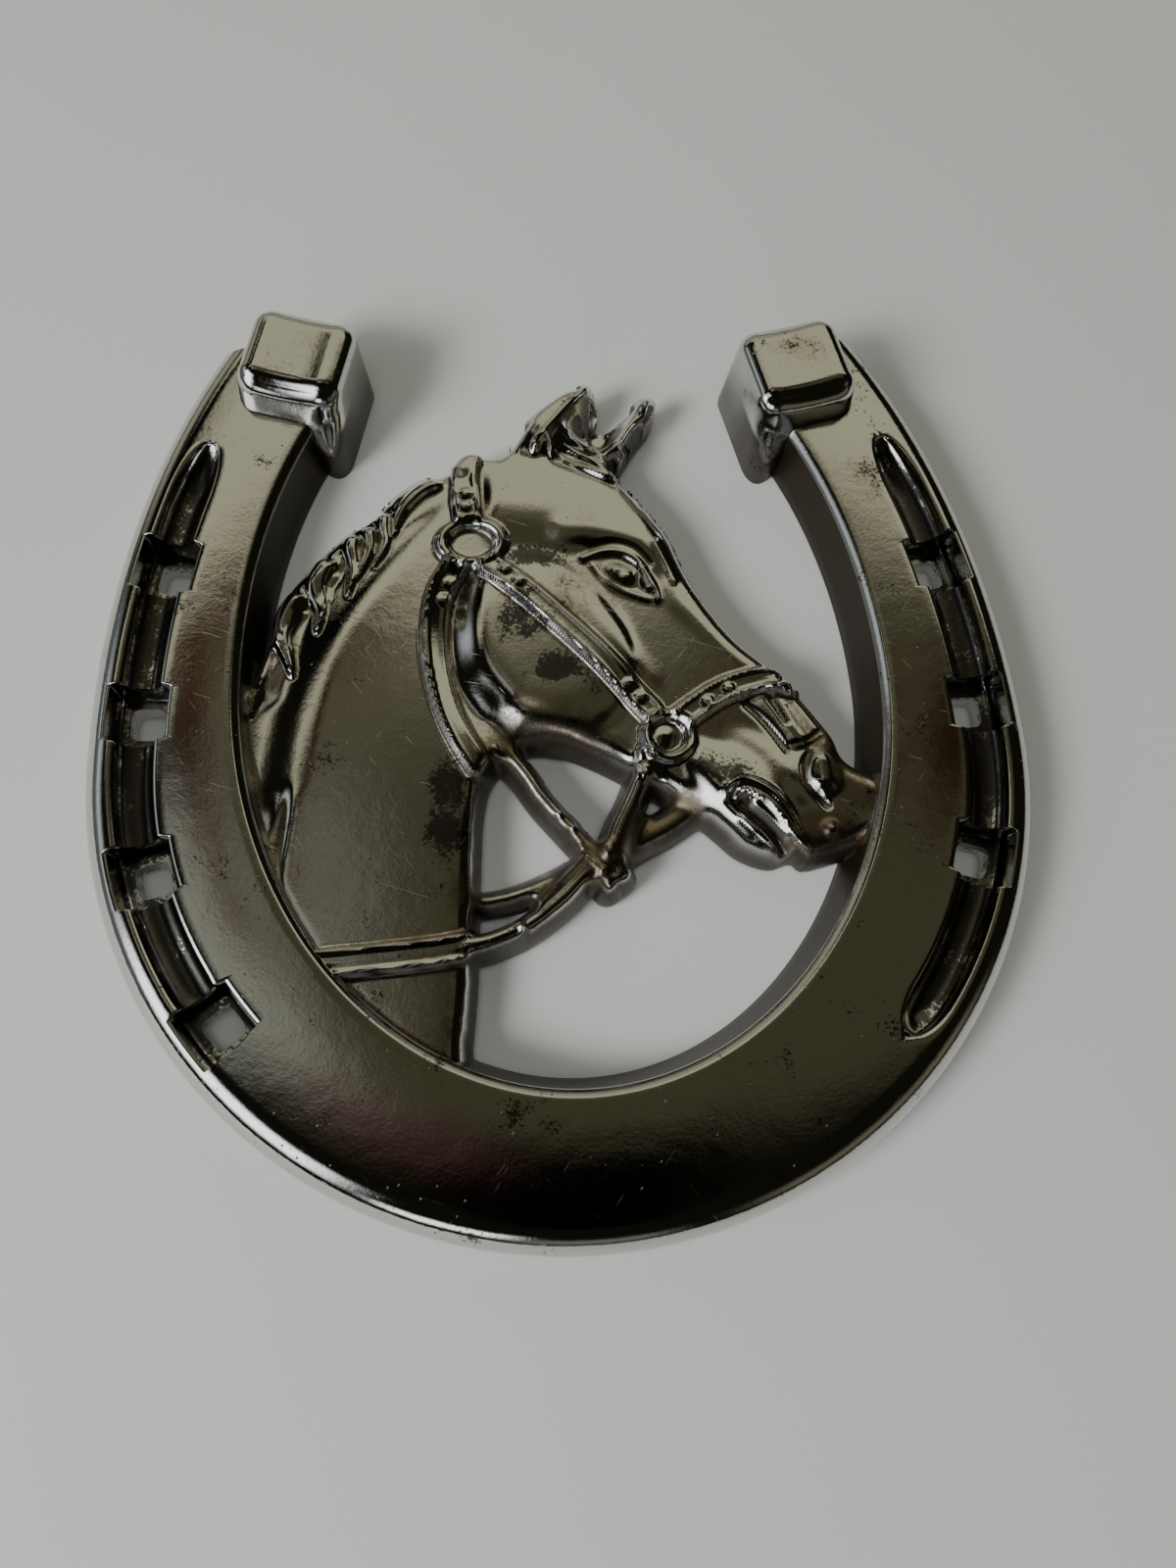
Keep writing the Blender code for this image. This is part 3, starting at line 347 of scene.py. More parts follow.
def line_distance(place, line):
    """Distance of places to a line, the share of its length where they meet it, and their side of it."""
    best = np.full(len(place), 1.0e9)
    along = np.zeros(len(place))
    side = np.zeros(len(place))
    lengths = np.hypot(*np.diff(line, axis=0).T)
    done = 0.0
    for start, end, length in zip(line[:-1], line[1:], lengths):
        step = (end - start) / max(length, 1.0e-9)
        offset = place - start
        run = np.clip(offset @ step, 0.0, length)
        miss = offset - run[:, None] * step
        away = np.hypot(miss[:, 0], miss[:, 1])
        nearer = away < best
        best = np.where(nearer, away, best)
        along = np.where(nearer, (done + run) / max(lengths.sum(), 1.0e-9), along)
        side = np.where(nearer, step[0] * offset[:, 1] - step[1] * offset[:, 0], side)
        done += length
    return best, along, np.sign(side)


def near_line(place, line, reach):
    """Which places can lie within reach of a line."""
    low = line.min(axis=0) - reach
    high = line.max(axis=0) + reach
    return np.nonzero(np.all((place > low) & (place < high), axis=1))[0]


def stroke(place, height, points, reach, rise, end_reach=None):
    """Lay a soft ridge on the height, or a soft hollow where its rise is below zero."""
    line = spline(points)
    close = near_line(place, line, max(reach, end_reach or 0.0))
    away, along, _ = line_distance(place[close], line)
    width = reach if end_reach is None else reach + (end_reach - reach) * along
    height[close] += rise * (1.0 - smooth(0.0, 1.0, away / width))


def depth_inside(place, outline):
    """Distance to a closed outline, above zero inside it."""
    ring = np.vstack([outline, outline[:1]])
    away, _, _ = line_distance(place, ring)
    inside = np.zeros(len(place), dtype=bool)
    x, y = place.T
    for start, end in zip(ring[:-1], ring[1:]):
        if start[1] != end[1]:
            crosses = (start[1] > y) != (end[1] > y)
            inside ^= crosses & (x < (end[0] - start[0]) * (y - start[1]) / (end[1] - start[1]) + start[0])
    return np.where(inside, away, -away)


def outer_edge(angles):
    """Points of the shoe's outer edge and the way inwards from each. The toe is at angle 0."""
    reach = np.where(np.cos(angles) > 0.0, SHOE_HALF_WIDTH, SHOE_HEEL_REACH)
    points = np.stack([SHOE_HALF_WIDTH * np.sin(angles), SHOE_CENTRE_Y - reach * np.cos(angles)], axis=1)
    inward = np.stack([-reach * np.sin(angles), SHOE_HALF_WIDTH * np.cos(angles)], axis=1)
    return points, inward / np.linalg.norm(inward, axis=1, keepdims=True)


def gap_edge(degrees, outwards):
    """A point a little outside the shoe's inner edge, inside its metal."""
    angle = math.radians(degrees)
    reach = GAP_TOE_DEPTH if math.cos(angle) > 0.0 else GAP_HEEL_REACH
    outward = np.array([reach * math.sin(angle), -GAP_HALF_WIDTH * math.cos(angle)])
    point = np.array([GAP_HALF_WIDTH * math.sin(angle), GAP_CENTRE_Y - reach * math.cos(angle)])
    return tuple(point + outwards * outward / np.hypot(*outward))


def band_width(points, inward):
    """Widths of the shoe from outer points straight across to the inner edge."""
    near = np.zeros(len(points))
    far = np.full(len(points), SHOE_HALF_WIDTH)
    for _ in range(40):
        middle = 0.5 * (near + far)
        x, y = (points + middle[:, None] * inward).T
        reach = np.where(y < GAP_CENTRE_Y, GAP_TOE_DEPTH, GAP_HEEL_REACH)
        inside = (x / GAP_HALF_WIDTH) ** 2 + ((y - GAP_CENTRE_Y) / reach) ** 2 < 1.0
        far = np.where(inside, middle, far)
        near = np.where(inside, near, middle)
    return near


def groove_line():
    """Angles along the shoe and the lengths of the groove's middle line up to them, from the toe."""
    last = math.acos((SHOE_CENTRE_Y - SHOE_HEEL_Y - SHOULDER_WIDTH) / SHOE_HEEL_REACH)
    angles = np.linspace(0.0, last, 800)
    points, inward = outer_edge(angles)
    middle = points + GROOVE_INSET * inward
    lengths = np.concatenate([[0.0], np.cumsum(np.hypot(*np.diff(middle, axis=0).T))])
    return angles, lengths


def channel(run, nails, groove, sizes):
    """Half width, depth and squareness of the nail groove and its pockets at lengths along a branch."""
    start, end = groove
    inside = np.minimum((end - run) / GROOVE_TAPER, (run - start + 0.2) / (0.7 * GROOVE_TAPER))
    inside = np.clip(inside, 0.0, 1.0)
    swell = np.sqrt(inside * (2.0 - inside))
    half = 0.5 * sizes.groove_width / MM * np.maximum(swell, LEAST_SWELL)
    depth = sizes.groove_depth / MM * swell ** 1.3
    square = np.full(run.shape, GROOVE_SQUARENESS)
    pocket_half = 0.5 * sizes.pocket_length / MM
    for nail in nails:
        share = smooth(pocket_half + 0.5 * POCKET_WALL, pocket_half - 0.5 * POCKET_WALL, np.abs(run - nail))
        half = half + (0.5 * sizes.pocket_width / MM - half) * share
        depth = depth + (sizes.pocket_depth / MM - depth) * share
        square = square + (POCKET_SQUARENESS - square) * share
    return half, depth, square


def face_height(across, width):
    """Height of the shoe's face at distances from its outer edge: a gentle crown and a round shoulder."""
    rim = width - EDGE_CHAMFER
    middle = 0.5 * (SHOULDER_WIDTH + rim)
    crown = SHOE_THICKNESS - CROWN * ((across - middle) / (rim - middle)) ** 2
    return crown - SHOULDER_HEIGHT * (1.0 - rounded(across, SHOULDER_WIDTH))


def bar_sections(width, half, depth, square, rim_rounding):
    """The shoe's section at every station: rows of distances from the outer edge and of heights."""
    ones = np.ones(len(width))
    left = GROOVE_INSET - half
    right = GROOVE_INSET + half
    rim = width - EDGE_CHAMFER
    columns = []
    for turn in np.radians([0.0, 30.0, 60.0, 90.0]):
        columns.append((FOOT_RADIUS * (1.0 - math.sin(turn)) * ones,
                        FOOT_RADIUS * (1.0 - math.cos(turn)) * ones))
    shoulder_foot = face_height(0.0 * ones, width)
    for share in (0.3, 0.65):
        columns.append((0.0 * ones, FOOT_RADIUS + share * (shoulder_foot - FOOT_RADIUS)))
    for turn in np.radians(np.linspace(0.0, 90.0, 14)):
        across = (left - rim_rounding) * (1.0 - math.cos(turn))
        columns.append((across, face_height(across, width)))
    sink = smooth(0.0, 0.6, depth)
    floor = face_height(GROOVE_INSET * ones, width) - depth
    for away in (0.55, 0.2):
        across = left - away * rim_rounding
        columns.append((across, face_height(across, width)
                        - RIM_DROP * rim_rounding * sink * (1.0 - away) ** 2))
    for share in np.sin(np.radians(np.linspace(-90.0, 90.0, 25))):
        across = GROOVE_INSET + share * half
        bowl = (1.0 - min(abs(share), 1.0) ** square) ** (1.0 / square)
        rim_drop = RIM_DROP * rim_rounding * sink * (1.0 - bowl)
        face = face_height(across, width)
        columns.append((across, face - rim_drop - (face - floor) * bowl * (depth > 0.0)))
    for away in (0.2, 0.55):
        across = right + away * rim_rounding
        columns.append((across, face_height(across, width)
                        - RIM_DROP * rim_rounding * sink * (1.0 - away) ** 2))
    for share in np.linspace(0.0, 1.0, 11):
        across = right + rim_rounding + share * (rim - 0.35 - right - rim_rounding)
        columns.append((across, face_height(across, width)))
    edge = face_height(rim, width)
    for out, drop in INNER_BEVEL:
        columns.append((rim + out, edge - drop))
    for share in (0.4, 0.75):
        columns.append((width + share * INNER_DRAFT, (1.0 - share) * (edge - EDGE_CHAMFER)))
    columns.append((width + INNER_DRAFT - 0.05, 0.4 * ones))
    columns.append((width + INNER_DRAFT - 0.3, 0.0 * ones))
    for share in (0.66, 0.33, 0.0):
        columns.append((FOOT_RADIUS + share * (width + INNER_DRAFT - 0.3 - FOOT_RADIUS), 0.0 * ones))
    across = np.stack([column[0] for column in columns], axis=1)
    height = np.stack([column[1] for column in columns], axis=1)
    return across, height


def stations(nails, groove, total, sizes):
    """Lengths along a branch at which its section is placed: closer where the groove changes."""
    places = list(np.arange(0.0, total, STATION_STEP))
    pocket_half = 0.5 * sizes.pocket_length / MM
    for nail in nails:
        for side in (-1.0, 1.0):
            places += list(nail + side * (pocket_half + POCKET_WALL * np.linspace(-0.9, 0.9, 11)))
    start, end = groove
    places += list(end - GROOVE_TAPER * np.linspace(0.0, 0.6, 24) ** 1.6)
    if start > 0.0:
        places += list(start + GROOVE_TAPER * np.linspace(0.0, 0.6, 24) ** 1.6)
    kept = []
    for place in sorted(places):
        if place < total and (not kept or place - kept[-1] > LEAST_STEP):
            kept.append(place)
    return np.array(kept + [total])


def move_grid(bm, table):
    """Put the vertices of a unit grid at the places of a table with a row for each step along X."""
    rows, columns = table.shape[:2]
    for vert in bm.verts:
        row = round((vert.co.x + 0.5) * (rows - 1))
        column = round((vert.co.y + 0.5) * (columns - 1))
        vert.co = table[row, column]


def build_bar(sizes):
    """The horseshoe's bar with its nail groove and pockets: a grid wrapped round the section."""
    angles, lengths = groove_line()
    tables = []
    for side, nails, groove in ((-1.0, LEFT_NAILS, LEFT_GROOVE), (1.0, RIGHT_NAILS, RIGHT_GROOVE)):
        run = stations(nails, groove, lengths[-1], sizes)
        points, inward = outer_edge(side * np.interp(run, lengths, angles))
        width = band_width(points, inward)
        half, depth, square = channel(run, nails, groove, sizes)
        across, height = bar_sections(width, half, depth, square, sizes.rim_rounding / MM)
        flat = points[:, None, :] + across[:, :, None] * inward[:, None, :]
        table = np.concatenate([flat, height[:, :, None]], axis=2)
        tables.append(table[::-1] if side < 0.0 else table[1:])
    table = np.concatenate(tables)
    bm = bmesh.new()
    bmesh.ops.create_grid(bm, x_segments=len(table) - 1, y_segments=table.shape[1] - 1, size=0.5)
    move_grid(bm, table)
    bmesh.ops.remove_doubles(bm, verts=bm.verts, dist=0.0005)
    bmesh.ops.holes_fill(bm, edges=[edge for edge in bm.edges if edge.is_boundary], sides=0)
    everything = bm.verts[:] + bm.edges[:] + bm.faces[:]
    cut = bmesh.ops.bisect_plane(bm, geom=everything, plane_co=(0.0, SHOE_HEEL_Y, 0.0),
                                 plane_no=(0.0, 1.0, 0.0), clear_outer=True)
    rim = [part for part in cut["geom_cut"] if isinstance(part, bmesh.types.BMEdge)]
    bmesh.ops.holes_fill(bm, edges=rim, sides=0)
    bmesh.ops.triangulate(bm, faces=[face for face in bm.faces if len(face.verts) > 4])
    bmesh.ops.recalc_face_normals(bm, faces=bm.faces)
    return bm


def build_punches(sizes):
    """Square punches with round corners, one through each nail pocket."""
    angles, lengths = groove_line()
    half = 0.5 * sizes.hole_width / MM
    bm = bmesh.new()
    for side, nails in ((-1.0, LEFT_NAILS), (1.0, RIGHT_NAILS)):
        points, inward = outer_edge(side * np.interp(np.array(nails), lengths, angles))
        for point, way in zip(points, inward):
            made = bmesh.ops.create_circle(bm, cap_ends=True, segments=24, radius=1.0)
            centre = point + GROOVE_INSET * way
            for vert in made["verts"]:
                a, b = vert.co.x, vert.co.y
                reach = (abs(a) ** HOLE_SQUARENESS + abs(b) ** HOLE_SQUARENESS) ** (1.0 / HOLE_SQUARENESS)
                size = 1.0 / max(reach, 1.0e-6)
                a, b = a * size * half, b * size * half
                vert.co = (centre[0] + a * way[0] - b * way[1], centre[1] + a * way[1] + b * way[0], -1.0)
            base = made["verts"][0].link_faces[0]
            grown = bmesh.ops.extrude_face_region(bm, geom=[base])
            top = [part for part in grown["geom"] if isinstance(part, bmesh.types.BMVert)]
            bmesh.ops.translate(bm, verts=top, vec=(0.0, 0.0, SHOE_THICKNESS + 2.0))
    bmesh.ops.recalc_face_normals(bm, faces=bm.faces)
    return bm


def build_heel(side):
    """A turned-up heel: a rounded block with a dipped top that swells into the gap at its foot."""
    bm = bmesh.new()
    bmesh.ops.create_cube(bm, size=2.0)
    bmesh.ops.subdivide_edges(bm, edges=bm.edges, cuts=HEEL_CUTS, use_grid_fill=True)
    centre, degrees = HEELS[side]
    turn = math.radians(degrees)
    for vert in bm.verts:
        a, b, c = (math.copysign(abs(value) ** HEEL_CROWDING, value) for value in vert.co)
        height = 0.5 * (c + 1.0) * HEEL_HEIGHT
        rise = height / HEEL_HEIGHT
        half_width = 0.5 * (HEEL_WIDTH + (HEEL_TOP_WIDTH - HEEL_WIDTH) * rise)
        half_length = 0.5 * (HEEL_LENGTH + (HEEL_TOP_LENGTH - HEEL_LENGTH) * rise)
        corner = np.array([a * half_width, b * half_length, height])
        reach = np.array([half_width, half_length, HEEL_HEIGHT]) - HEEL_ROUNDING
        core = np.clip(corner, -reach, reach)
        ball = corner - core
        x, y, height = core + ball / max(np.linalg.norm(ball) / HEEL_ROUNDING, 1.0)
        inner = smooth(0.0, half_width, -side * x)
        x -= side * HEEL_BULGE * (1.0 - rise) * inner
        y += HEEL_SLOPE * smooth(0.55, 1.0, rise) * smooth(0.0, half_length, -y)
        y -= HEEL_SPREAD * inner * smooth(0.0, half_length, -y) * (1.0 - smooth(0.3, 0.7, rise))
        height -= HEEL_SADDLE * rise ** 4 * (1.0 - (x / half_width) ** 2)
        vert.co = [centre[0] + x * math.cos(turn) - y * math.sin(turn),
                   centre[1] + x * math.sin(turn) + y * math.cos(turn), height]
    return bm


MUZZLE_TURNS = (66, 74)
FOOT_TURNS = range(-94, -18, 15)


def body_outline():
    """Outline of head and neck; its foot and muzzle run into the shoe."""
    foot = [gap_edge(turn, EMBED) for turn in FOOT_TURNS]
    muzzle = [gap_edge(turn, EMBED) for turn in MUZZLE_TURNS]
    return spline(THROAT + muzzle + PROFILE + FAR_EAR + NEAR_EAR + CREST + foot, closed=True, parts=4)


def head_outline():
    """Outline of the head alone, back to the jaw's edge."""
    muzzle = [gap_edge(turn, EMBED) for turn in MUZZLE_TURNS]
    return spline(JAW + THROAT[5:] + muzzle + PROFILE + [(4.0, 52.0), (-4.7, 51.5)], closed=True, parts=4)


def rods(place):
    """For every free strap and each round of the knob: how far inside it each place is, and its top."""
    for points, width, top in FREE_STRAPS.values():
        away, _, _ = line_distance(place, spline(points))
        yield 0.5 * width - away, top
    for centre, radius in KNOB:
        yield radius - np.hypot(*(place - centre).T), KNOB_TOP


def figure_depth(place):
    """How far inside the figure each place is, free straps and knob included."""
    depth = depth_inside(place, body_outline())
    for inside, _ in rods(place):
        depth = np.maximum(depth, inside)
    return depth


def rimmed(height, depth, reach, share):
    """Bring a height down to the figure's rim: a share of it as a steep wall, the rest as a round edge."""
    return FIGURE_EDGE + (height - FIGURE_EDGE) * (share + (1.0 - share) * rounded(depth, reach))


def broad_height(place):
    """The figure's large forms: neck, head, ears, free straps and knob."""
    body = depth_inside(place, body_outline())
    head_in = depth_inside(place, head_outline())
    away, _, side = line_distance(place, spline(NECK_SHOULDER))
    neck = NECK_TOP - NECK_FALL * smooth(-2.5, 6.5, -away * side)
    stroke(place, neck, MANE_BASE, 3.4, 0.7)
    stroke(place, neck, THROAT_HOLLOW, 3.2, -1.2)
    wall = LOW_WALL + (POLL_WALL - LOW_WALL) * smooth(24.0, 50.0, place[:, 1])
    neck = rimmed(neck, body, SIDE_WIDTH, wall)
    head = np.full(len(place), HEAD_TOP)
    for form in BROAD_HEAD:
        stroke(place, head, *form)
    for points, reach, rise in ROUND_FORMS:
        away, _, _ = line_distance(place, spline(points))
        head += rise * rounded(reach - away, 0.6 * reach)
    head = rimmed(head, np.minimum(body, head_in), HEAD_SIDE_WIDTH, wall)
    height = np.where(head_in > 0.0, np.maximum(head, neck), neck)
    ears = np.full(len(place), FIGURE_EDGE)
    for points, width, top in EAR_ROLLS:
        beside, _, _ = line_distance(place, spline(points))
        roll = rounded(0.5 * width - beside, 0.5 * width)
        ears = np.maximum(ears, FIGURE_EDGE + (top - FIGURE_EDGE) * roll)
    share = smooth(*EAR_FOOT, place[:, 1] + 0.35 * place[:, 0])
    height = height * (1.0 - share) + rimmed(ears, body, 1.2, EAR_WALL) * share
    height = np.where(body > 0.0, height, 0.0)
    for inside, top in rods(place):
        height = np.maximum(height, np.where(inside > 0.0, rimmed(top, inside, ROD_ROUNDING, LOW_WALL), 0.0))
    return np.maximum(height, FIGURE_EDGE)


def lay_strap(place, height, points, width, rise, left_bead, right_bead):
    """A flat strap laid on the form, with a bead along each edge."""
    line = spline(points)
    close = near_line(place, line, width)
    away, _, side = line_distance(place[close], line)
    added = rise * (1.0 - smooth(0.5 * width - 0.45, 0.5 * width + 0.15, away))
    bead = 1.0 - smooth(0.0, BEAD_WIDTH, np.abs(away - 0.5 * width + BEAD_INSET))
    added += bead * np.where(side > 0.0, left_bead, right_bead)
    height[close] += added


def lay_ring(place, height, centre, half_size, wire):
    """A ring with a round wire and a shallow dish inside it."""
    offset = (place - centre) / half_size
    radius = np.hypot(*offset.T)
    size = 0.5 * sum(half_size)
    away = np.abs(radius - 1.0) * size
    height *= smooth(size, size + 0.8 * wire, radius * size)
    height += RING_RISE * np.sqrt(np.clip(1.0 - (away / wire) ** 2, 0.0, 1.0))
    height -= RING_DISH * smooth(1.0, 0.75, radius)


def lay_dome(place, height, centre, radius, rise, sideways=1.0):
    """A stud's round head."""
    offset = place - centre
    away = np.hypot(offset[:, 0] * sideways, offset[:, 1])
    height += rise * np.sqrt(np.clip(1.0 - (away / radius) ** 2, 0.0, 1.0))


def fine_height(place):
    """What is laid on the large forms: halter, rings, studs, locks, eye, nostril and ears."""
    height = np.zeros(len(place))
    for points, half_width, strands in LOCKS:
        away, along, _ = line_distance(place, spline(points))
        half = half_width * np.sqrt(1.0 - 0.96 * along)
        grown = smooth(0.0, 0.15, along)
        height = np.maximum(height, grown * LOCK_RISE * rounded(half - away, half_width))
        for strand in strands:
            stroke(place, height, strand, STRAND_REACH, STRAND_RISE, 0.7 * STRAND_REACH)
    for forms in FINE_FORMS.values():
        for form in forms:
            stroke(place, height, *form)
    for strap in LAID_STRAPS.values():
        lay_strap(place, height, *strap)
    for ring in RINGS:
        lay_ring(place, height, *ring)
    for centre in STUDS:
        stroke(place, height, [centre, centre], 1.6 * STUD_RADIUS, -STUD_DIMPLE)
        lay_dome(place, height, centre, STUD_RADIUS, STUD_RISE)
    for centre in STITCHES:
        lay_dome(place, height, centre, 1.1, 0.6, 1.9)
    return height


def part_pinches(bm):
    """Where cells meet only at a corner, take the cells there away, so that the rim is a plain loop."""
    pinched = [vert for vert in bm.verts if sum(edge.is_boundary for edge in vert.link_edges) > 2]
    while pinched:
        cells = {face for vert in pinched for face in vert.link_faces}
        bmesh.ops.delete(bm, geom=list(cells), context="FACES")
        pinched = [vert for vert in bm.verts if sum(edge.is_boundary for edge in vert.link_edges) > 2]


def flat_places(verts):
    """The vertices' places, seen from above."""
    return np.array([vert.co[:2] for vert in verts])


def build_figure(sizes):
    """Head, neck and halter: a fine grid cut to the outline, carved, and given walls and a flat back."""
    outline = body_outline()
    low = outline.min(axis=0) - 1.0
    high = outline.max(axis=0) + 1.0
    cell = sizes.cell / MM
    counts = np.ceil((high - low) / cell).astype(int)
    bm = bmesh.new()
    bmesh.ops.create_grid(bm, x_segments=int(counts[0]), y_segments=int(counts[1]), size=0.5)
    bmesh.ops.scale(bm, verts=bm.verts, vec=(*(high - low), 1.0))
    bmesh.ops.translate(bm, verts=bm.verts, vec=(*(0.5 * (low + high)), 0.0))
    middles = np.array([face.calc_center_median()[:2] for face in bm.faces])
    depth = figure_depth(middles)
    outside = [face for face, inside in zip(bm.faces, depth) if inside <= 0.0]
    bmesh.ops.delete(bm, geom=outside, context="FACES")
    part_pinches(bm)
    rim = [vert for vert in bm.verts if vert.is_boundary]
    number = {vert: place for place, vert in enumerate(rim)}
    beside = np.array([[number[edge.other_vert(vert)] for edge in vert.link_edges if edge.is_boundary]
                       for vert in rim])
    place = flat_places(rim)
    for _ in range(RIM_STEPS):
        place = 0.5 * place + 0.25 * (place[beside[:, 0]] + place[beside[:, 1]])
        here = figure_depth(place)
        probes = [figure_depth(place + step) - here for step in ((PROBE, 0.0), (0.0, PROBE))]
        slope = np.stack(probes, axis=1) / PROBE
        step = np.clip(0.8 * here, -RIM_STEP, RIM_STEP)
        place -= step[:, None] * slope / np.maximum((slope ** 2).sum(axis=1, keepdims=True), 0.5)
    for vert, spot in zip(rim, place):
        vert.co = (spot[0], spot[1], 0.0)
    inner = [vert for vert in bm.verts if not vert.is_boundary]
    for _ in range(SPREAD_STEPS):
        bmesh.ops.smooth_vert(bm, verts=inner, factor=0.5, use_axis_x=True, use_axis_y=True)
    place = flat_places(bm.verts)
    for vert, top in zip(bm.verts, broad_height(place)):
        vert.co.z = top
    for _ in range(sizes.soften):
        bmesh.ops.smooth_vert(bm, verts=inner, factor=0.5, use_axis_z=True)
    fine = fine_height(place) * smooth(0.0, FINE_FADE, figure_depth(place))
    for vert, added in zip(bm.verts, fine):
        vert.co.z = max(vert.co.z + added, FIGURE_EDGE)
    for _ in range(CARVING_SOFTENING):
        bmesh.ops.smooth_vert(bm, verts=inner, factor=0.5, use_axis_z=True)
    edges = [edge for edge in bm.edges if edge.is_boundary]
    walls = bmesh.ops.extrude_edge_only(bm, edges=edges)
    for part in walls["geom"]:
        if isinstance(part, bmesh.types.BMVert):
            part.co.z = FIGURE_BACK
    bottom = [part for part in walls["geom"] if isinstance(part, bmesh.types.BMEdge)]
    bmesh.ops.triangle_fill(bm, edges=bottom, use_beauty=True, normal=(0.0, 0.0, -1.0))
    bmesh.ops.recalc_face_normals(bm, faces=bm.faces)
    return bm


def as_object(bm, name):
    """Settle a mesh where the frame's solid lies and link it to the scene."""
    place = Matrix.Scale(MM, 4) @ Matrix.Translation((0.0, SHIFT_Y, 0.0))
    bm.transform(place)
    mesh = bpy.data.meshes.new(name)
    bm.to_mesh(mesh)
    bm.free()
    made = bpy.data.objects.new(name, mesh)
    bpy.context.scene.collection.objects.link(made)
    return made


def combine(target, other, operation):
    """Apply a Boolean and remove the object that was joined or cut away."""
    step = target.modifiers.new("shape", "BOOLEAN")
    step.operation = operation
    step.solver = "EXACT"
    step.object = other
    graph = bpy.context.evaluated_depsgraph_get()
    result = bpy.data.meshes.new_from_object(target.evaluated_get(graph))
    target.modifiers.remove(step)
    target.data = result
    bpy.data.objects.remove(other, do_unlink=True)


# Stored for each point: hollows, tarnish, the skin with its painted shade, and the groove's painted shade
# with the stains
WEAR_AND_SHADE = ("hollow", "tarnish", "skin_and_shade", "groove_shade_and_stain")
# Where brown tarnish has gathered: place, reach and amount
TARNISH_SPOTS = [
    (-3.0, 0.0, 14.0, 1.3), (3.0, -10.0, 13.0, 1.3), (-9.0, -18.0, 12.0, 1.0), (34.0, -13.0, 8.0, 1.2),
    (39.0, 2.0, 12.0, 0.9), (13.0, -8.0, 8.0, 1.2), (4.0, 26.0, 8.0, 0.4), (-12.5, -30.0, 13.0, 0.8),
    (-36.0, 61.0, 10.0, 0.2), (37.0, 58.0, 10.0, 0.25), (44.0, 40.0, 12.0, 0.3), (2.0, 33.0, 9.0, 0.4),
]
# Dark blotches where the plate has gone: place, half width and half height
STAINS = [(-16.8, -4.6, 2.8, 6.0), (-1.0, 14.2, 4.0, 1.8), (-6.4, 22.0, 3.4, 3.0), (-3.0, 32.0, 4.0, 1.8),
          (20.0, -1.0, 4.6, 2.2)]
BLUR_STEPS = 6
HOLLOW_GAIN = 6.0
TARNISH_CORE = 0.35
# Share of the dull casting skin on the walls of the gap, on tarnished low slopes and on the heel blocks; its
# dark colour is painted shade there
WALL_SKIN_AND_SHADE = 0.93
SLOPE_SKIN_AND_SHADE = 0.85
HEEL_SKIN_AND_SHADE = 0.8


def blurred_places(mesh, place):
    """The points' places after each is drawn a few times towards its neighbours."""
    count = len(mesh.vertices)
    ends = np.zeros(len(mesh.edges) * 2, dtype=int)
    mesh.edges.foreach_get("vertices", ends)
    ends = ends.reshape(-1, 2)
    links = np.maximum(np.bincount(ends.ravel(), minlength=count), 1)[:, None]
    blurred = place.copy()
    for _ in range(BLUR_STEPS):
        total = np.zeros_like(blurred)
        for axis in range(3):
            total[:, axis] = (np.bincount(ends[:, 0], weights=blurred[ends[:, 1], axis], minlength=count)
                              + np.bincount(ends[:, 1], weights=blurred[ends[:, 0], axis], minlength=count))
        blurred = 0.5 * blurred + 0.5 * total / links
    return blurred


